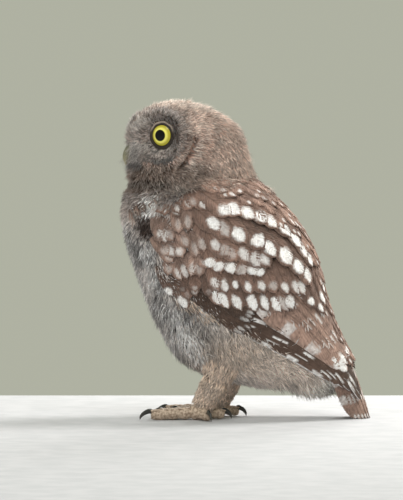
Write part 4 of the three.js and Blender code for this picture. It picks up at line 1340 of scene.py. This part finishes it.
def eyes():
    finish = eye_finish()
    polar = np.concatenate([np.linspace(0, IRIS_ANGLE, 26), np.linspace(IRIS_ANGLE, math.pi, 22)[1:]])[1:-1]
    a, b = np.meshgrid(polar, np.linspace(*AROUND, EYE_COLUMNS + 1)[:-1], indexing="ij")
    for side, name in SIDES:
        axis, centre, ring = eye_ring(side, b)
        points = centre + EYE_RADIUS * (axis * np.cos(a)[..., None] + ring * np.sin(a)[..., None])
        poles = [centre + axis * EYE_RADIUS, centre - axis * EYE_RADIUS]
        points = np.concatenate([points.reshape(-1, 3), poles])
        values = np.concatenate([a.ravel() / IRIS_ANGLE, [0, 2]])
        turn = np.concatenate([b.ravel() / (2 * math.pi), [0, 0]])
        shape = Shape()
        faces = [f[:, ::-1] for f in closed_faces(len(polar), EYE_COLUMNS)]
        shape.add(points, faces, polar=np.minimum(values, 2), around=turn)
        shape.piece("eyeball_" + name, finish, "eye", ["eye_" + name])


def toe_finish():
    f = Finish("toe_skin", 0.65, IOR=1.4)
    folds = f.noise(700.0, 4.0)
    f.bump(folds, 0.0003, 0.6)
    return f.done(f.mix(f.ease(folds, 0.3, 0.7), tone(138, 118, 102), tone(208, 188, 168)))


def lid_finish():
    f = Finish("lid", 0.55, IOR=1.4)
    folds = f.noise(1200.0, 4.0)
    f.bump(folds, 0.0002, 0.6)
    return f.done(f.mix(f.ease(folds, 0.3, 0.7, 0.0, 0.3), f.read("colour", "Vector"), tone(40, 36, 34)))


# Each roll of the lids: how far outside the rim, how thick, how high, and its tone above the eye, which on
# the outer roll is a painted highlight
LID_ROLLS = [(0.4, 0.55, 0.0, tone(62, 54, 50)), (1.45, 0.6, -0.25, tone(168, 152, 140))]
LID_DARK = tone(58, 50, 46)
LID_ROWS, LID_COLUMNS = 12, 72


def lids():
    """A soft dark ring round each eye, with a pale edge above that is a painted highlight."""
    finish = lid_finish()
    around = np.linspace(*AROUND, LID_COLUMNS + 1)[:-1]
    rows = grid_faces(LID_ROWS, LID_COLUMNS, wrap=True)
    faces = np.concatenate([rows, closing(LID_ROWS - 1, 0, LID_COLUMNS)])
    for side, name in SIDES:
        axis, centre, ring = eye_ring(side, around)
        shape = Shape()
        for middle, thick, level_at, above in LID_ROLLS:
            rings = []
            for turn in np.linspace(*AROUND, LID_ROWS + 1)[:-1]:
                wobble = 1 + 0.02 * np.sin(9 * around + middle)
                out = EYE_RADIUS * math.sin(LID_ANGLE) + middle + thick * math.cos(turn)
                level = EYE_RADIUS * math.cos(LID_ANGLE) + level_at + 0.85 * thick * math.sin(turn)
                rings.append(centre + axis * level + ring * (out * wobble)[:, None])
            # painted highlight: each roll turns to its paler tone on its upper side
            colour = blend(LID_DARK, above, smooth(np.sin(around), 0.1, 0.6))
            shape.add(np.concatenate(rings), [faces], colour=np.tile(colour, (LID_ROWS, 1)))
        shape.piece("lids_" + name, finish, "head_down")


def closing(last, first, columns):
    """Faces that join the last row of a wrapped grid to its first."""
    j = np.arange(columns)
    k = (j + 1) % columns
    return np.stack([last * columns + j, last * columns + k, first * columns + k, first * columns + j], -1)


def tube(path, depths, widths, across, sides=24, rows=30):
    """A closed tube of oval sections along a smooth path, as points and faces."""
    place = np.linspace(0, len(path) - 1, rows)
    middle = along(path, place)
    ahead = unit(np.gradient(middle, axis=0))
    up = unit(np.cross(ahead, across))
    angle = np.linspace(*AROUND, sides + 1)[:-1]
    depth = along(depths, place * (len(depths) - 1) / (len(path) - 1))[:, None, None]
    width = along(widths, place * (len(widths) - 1) / (len(path) - 1))[:, None, None]
    ring = across * np.cos(angle)[None, :, None] * width + up[:, None] * np.sin(angle)[None, :, None] * depth
    points = (middle[:, None] + ring).reshape(-1, 3)
    return np.concatenate([points, middle[:1], middle[-1:]]), closed_faces(rows, sides)


def horn_finish(name, pale, dark, low, high, roughness):
    f = Finish(name, roughness, IOR=1.5, Coat_Weight=0.3, Coat_Roughness=0.25)
    grain = f.noise(700.0, 4.0)
    f.bump(grain, 0.0001, 0.5)
    share = f.ease(f.split(f.place())[2], low, high)
    return f.done(f.mix(f.ease(grain, 0.3, 0.7, 0.0, 0.35), f.mix(share, pale, dark), tone(60, 62, 50)))


def bill():
    finish = horn_finish("bill_horn", tone(166, 158, 124), tone(112, 110, 92), 0.150, 0.163, 0.4)
    across = head_direction(np.array([0, -1.0, 0]))
    at = lambda forward, up, aside=0.0: from_head(np.array([forward, aside, up]))
    shape = Shape()
    path = [at(26, 3.2), at(31, 3.0), at(35.0, 1.2), at(37.6, -1.8), at(38.5, -4.8), at(38.2, -8.0)]
    shape.add(*tube(path, [4.6, 4.5, 3.6, 2.6, 1.5, 0.15], [4.2, 4.1, 3.4, 2.4, 1.4, 0.15], across))
    for side in (-1, 1):
        cere = [at(30.0, 3.4, side * 2.4), at(33.0, 2.9, side * 2.9), at(35.2, 1.6, side * 2.3)]
        shape.add(*tube(cere, [1.3, 1.5, 0.5], [1.3, 1.5, 0.5], across, 12, 10))
    shape.piece("bill_upper_horn", finish, "bill", ["bill_upper"])
    lower = Shape()
    path = [at(26, -3.4), at(31, -4.0), at(34.6, -5.0), at(36.4, -6.2)]
    lower.add(*tube(path, [2.8, 2.6, 1.7, 0.2], [3.6, 3.2, 2.1, 0.3], across))
    lower.piece("bill_lower_horn", finish, "bill", ["bill_lower"])


# Feet

CLAW_BEND = 1.57
CLAW_AT = (0.12, 0.35, 0.6, 0.82, 1)
CLAW_DEPTHS = [1.5, 1.55, 1.35, 1.05, 0.65, 0.08]
CLAW_WIDTHS = [1.2, 1.2, 1.05, 0.8, 0.5, 0.08]


def toe_forms(side):
    """For each toe: its direction, path, thickness and claw's path."""
    for heading, length, size, claw in TOES:
        angle = math.radians(heading)
        ahead = np.array([-math.cos(angle), side * math.sin(angle), 0])
        start = np.array([FOOT_AT[0] + leg_back(side), side * LEG_ASIDE, 0])
        end = 4 + length
        place = lambda far, z: start + ahead * far + Z * z
        path = [place(3, 4.1), place(3 + (end - 3) * 0.5, 3.6), place(end, 3.0)]
        bent = [(math.sin(a * CLAW_BEND), math.cos(a * CLAW_BEND)) for a in CLAW_AT]
        hook = [place(end - 1 + 0.82 * claw * far, 0.25 + 5.2 * high) for far, high in bent]
        yield ahead, path, size, [place(end - 1.6, 4.3), *hook]


PADS = [1.05, 0.98, 1.12, 0.94, 1.1, 0.93, 1.08, 0.9, 0.7]
LUMP = np.array([[5, 0, 1.2], [2, 0, 0.8], [0, 0, 0], [-4, 0, -0.6], [-7, 0, -1]])
SCUTES = np.linspace(0.35, 0.95, 7)
SCUTE_ACROSS = np.array([-0.7, -0.35, 0, 0.35, 0.7])


def scute(path, share, size, across):
    """A scale's ridge over the top of a toe."""
    centre = along(path, share * 2)
    return [centre + across * w + Z * (size * (0.93 - 0.5 * abs(w / size) ** 2)) for w in SCUTE_ACROSS * size]


def feet():
    toe_skin = toe_finish()
    claw_horn = horn_finish("claw_horn", tone(70, 64, 60), tone(30, 28, 28), 0.0, 0.006, 0.3)
    for side, name in SIDES:
        foot, claws = Shape(), Shape()
        lump = LUMP + [FOOT_AT[0] + leg_back(side), side * LEG_ASIDE, FOOT_AT[1]]
        foot.add(*tube(lump, [0.5, 4.6, 4.9, 4.2, 0.5], [0.5, 5.4, 6.2, 5.2, 0.5], Y, 20, 20))
        for ahead, path, size, claw in toe_forms(side):
            across = np.cross(Z, ahead)
            thick = [k * size for k in PADS]
            foot.add(*tube(path, thick, thick, across, 16, 40))
            for share in SCUTES:
                foot.add(*tube(scute(path, share, size, across), [0.35] * 5, [1.25] * 5, ahead, 8, 9))
            claws.add(*tube(claw, CLAW_DEPTHS, CLAW_WIDTHS, across, 16, 26))
        nodes = [f"foot_{name}", *[f"toe_{name}_{i}" for i in (1, 2, 3, 4)]]
        foot.piece("foot_skin_" + name, toe_skin, "toe_skin", nodes)
        claws.piece("claws_" + name, claw_horn, "claw", [f"claw_{name}_{i}" for i in (1, 2, 3, 4)])


# Skin

SKIN_DEPTH = 3.4
LEG_SKIN_DEPTH = 1.6
SKIN_VOXEL = 0.0013
SKIN_ROWS, SKIN_COLUMNS = 239, 180
SKIN_NODES = ["head", "ear_left", "ear_right", "neck", "torso"]
SKIN_NODES += [f"{part}_{name}" for part in ("thigh", "shank") for side, name in SIDES]


def skin_shape(body):
    """Head, neck and body as one form, with the legs' tubes let into it."""
    shape = Shape()
    crown, vent = body[:SKIN_COLUMNS].mean(0), body[-SKIN_COLUMNS:].mean(0)
    shape.add(np.concatenate([body, [crown], [vent]]), closed_faces(SKIN_ROWS, SKIN_COLUMNS))
    for side in (-1, 1):
        for form in (THIGH, SHANK):
            depths = [d - LEG_SKIN_DEPTH for d in form["depths"]]
            widths = [w - LEG_SKIN_DEPTH for w in form["widths"]]
            shape.add(*tube(leg_path(form["path"], side), depths, widths, Y, 40, 40))
    return shape


def fused(made):
    """The piece's mesh, remeshed into one closed surface."""
    modifier = made.modifiers.new("remesh", "REMESH")
    modifier.mode, modifier.voxel_size = "VOXEL", SKIN_VOXEL
    bpy.context.view_layer.update()
    mesh = bpy.data.meshes.new_from_object(made.evaluated_get(bpy.context.evaluated_depsgraph_get()))
    made.modifiers.clear()
    made.data = mesh
    mesh.materials.clear()
    mesh.materials.append(DOWN)
    mesh.polygons.foreach_set("use_smooth", np.ones(len(mesh.polygons), bool))
    return mesh


def skin():
    """One skin of head, neck, body, thighs and shanks, under the coat."""
    u = np.linspace(-1, LAST_HOOP, SKIN_ROWS + 1)[1:]
    v = np.linspace(*AROUND, SKIN_COLUMNS + 1)[:-1]
    a, b = np.meshgrid(u, v, indexing="ij")
    body = body_surface(-SKIN_DEPTH)(a, b).reshape(-1, 3)
    mesh = fused(skin_shape(body).piece("skin", DOWN, "breast_down", SKIN_NODES))
    points = np.empty(len(mesh.vertices) * 3, np.float32)
    mesh.vertices.foreach_get("co", points)
    points = points.reshape(-1, 3) * 1000 - FRAME_SHIFT
    tree = KDTree(len(body))
    for i, point in enumerate(body):
        tree.insert(point, i)
    tree.balance()
    nearest = np.array([tree.find(point)[1:] for point in points])
    index = nearest[:, 0].astype(int)
    colour = coat_colour(a.ravel()[index], b.ravel()[index], points)
    colour = blend(colour, LEG_BUFF, smooth(nearest[:, 1], 2, 6) * (points[:, 2] < 56)) * 0.75
    for key in ("colour", "tip_colour"):
        set_values(mesh, key, colour.astype(np.float32))
    for key in ("along", "tint"):
        set_values(mesh, key, np.full(len(points), 0.5, np.float32))


# Floor, light and camera

CAMERA_FAR = 3.0
CAMERA_UP = math.radians(2)
FILM = 36
MM_PER_PIXEL = 0.6
PICTURE_HIGH = 500
PICTURE_MIDDLE = (-25.8, 100.8)
FLOOR_WIDE = 5.0
FLOOR_SHAPE = [(-2.6, 0), (0.2, 0), (0.24, -0.002), (0.3, -0.009), (0.4, -0.026), (3.2, -0.56)]
AIM = (0, 0, 0.1)
# Each lamp's place, breadth, power and colour
LAMPS = {
    "key": ((0.5, 0.3, 0.95), 0.5, 11.0, (1, 0.98, 0.95)),
    "rim": ((0.2, 1.0, 0.6), 0.5, 7.0, (1, 0.99, 0.97)),
    "top": ((0.1, -0.5, 1.1), 0.5, 4.5, (1, 1, 1)),
    "fill": ((-0.8, -1.1, 0.25), 0.9, 7.5, (0.98, 0.98, 1)),
}


def placed(name, data):
    made = bpy.data.objects.new(name, data)
    bpy.context.collection.objects.link(made)
    return made


def floor_finish():
    f = Finish("floor", 0.9)
    return f.done(f.mix(f.mottle(60.0), tone(184, 185, 188), tone(194, 194, 197)))


def ground():
    """A level floor that slopes away behind the owl."""
    mesh = bpy.data.meshes.new("floor")
    corners = [(x, y, z) for y, z in FLOOR_SHAPE for x in (-FLOOR_WIDE / 2, FLOOR_WIDE / 2)]
    mesh.from_pydata(corners, [], [(i, i + 1, i + 3, i + 2) for i in range(0, len(corners) - 2, 2)])
    mesh.shade_smooth()
    floor = placed("floor", mesh)
    floor.data.materials.append(floor_finish())


def studio():
    world = bpy.data.worlds.new("studio")
    bpy.context.scene.world = world
    world.use_nodes = True
    background = world.node_tree.nodes["Background"]
    background.inputs["Color"].default_value = (*tone(184, 186, 170), 1)
    background.inputs["Strength"].default_value = 0.9
    for name, (place, size, power, colour) in LAMPS.items():
        light = bpy.data.lights.new(name, "AREA")
        light.shape, light.size, light.energy, light.color = "DISK", size, power, colour
        lamp = placed(name, light)
        lamp.visible_glossy = name != "fill"
        lamp.location = place
        lamp.rotation_mode = "QUATERNION"
        lamp.rotation_quaternion = (Vector(AIM) - Vector(place)).to_track_quat("-Z", "Y")


def camera():
    lens = bpy.data.cameras.new("camera")
    lens.sensor_width = FILM
    lens.lens = FILM * CAMERA_FAR / (PICTURE_HIGH * MM_PER_PIXEL / 1000)
    lens.clip_end = 20
    made = placed("camera", lens)
    x, z = (PICTURE_MIDDLE[0] + FRAME_SHIFT[0]) / 1000, PICTURE_MIDDLE[1] / 1000
    made.location = (x, -CAMERA_FAR * math.cos(CAMERA_UP), z + CAMERA_FAR * math.sin(CAMERA_UP))
    made.rotation_euler = (math.pi / 2 - CAMERA_UP, 0, 0)
    bpy.context.scene.camera = made
    bpy.context.scene.view_settings.view_transform = "Standard"


ground()
studio()
camera()
skin()
head_coat()
face_coat()
bristles()
collar_coat()
body_coat()
edge_coat()
leg_coat()
wings()
mantle()
tail()
eyes()
lids()
bill()
feet()
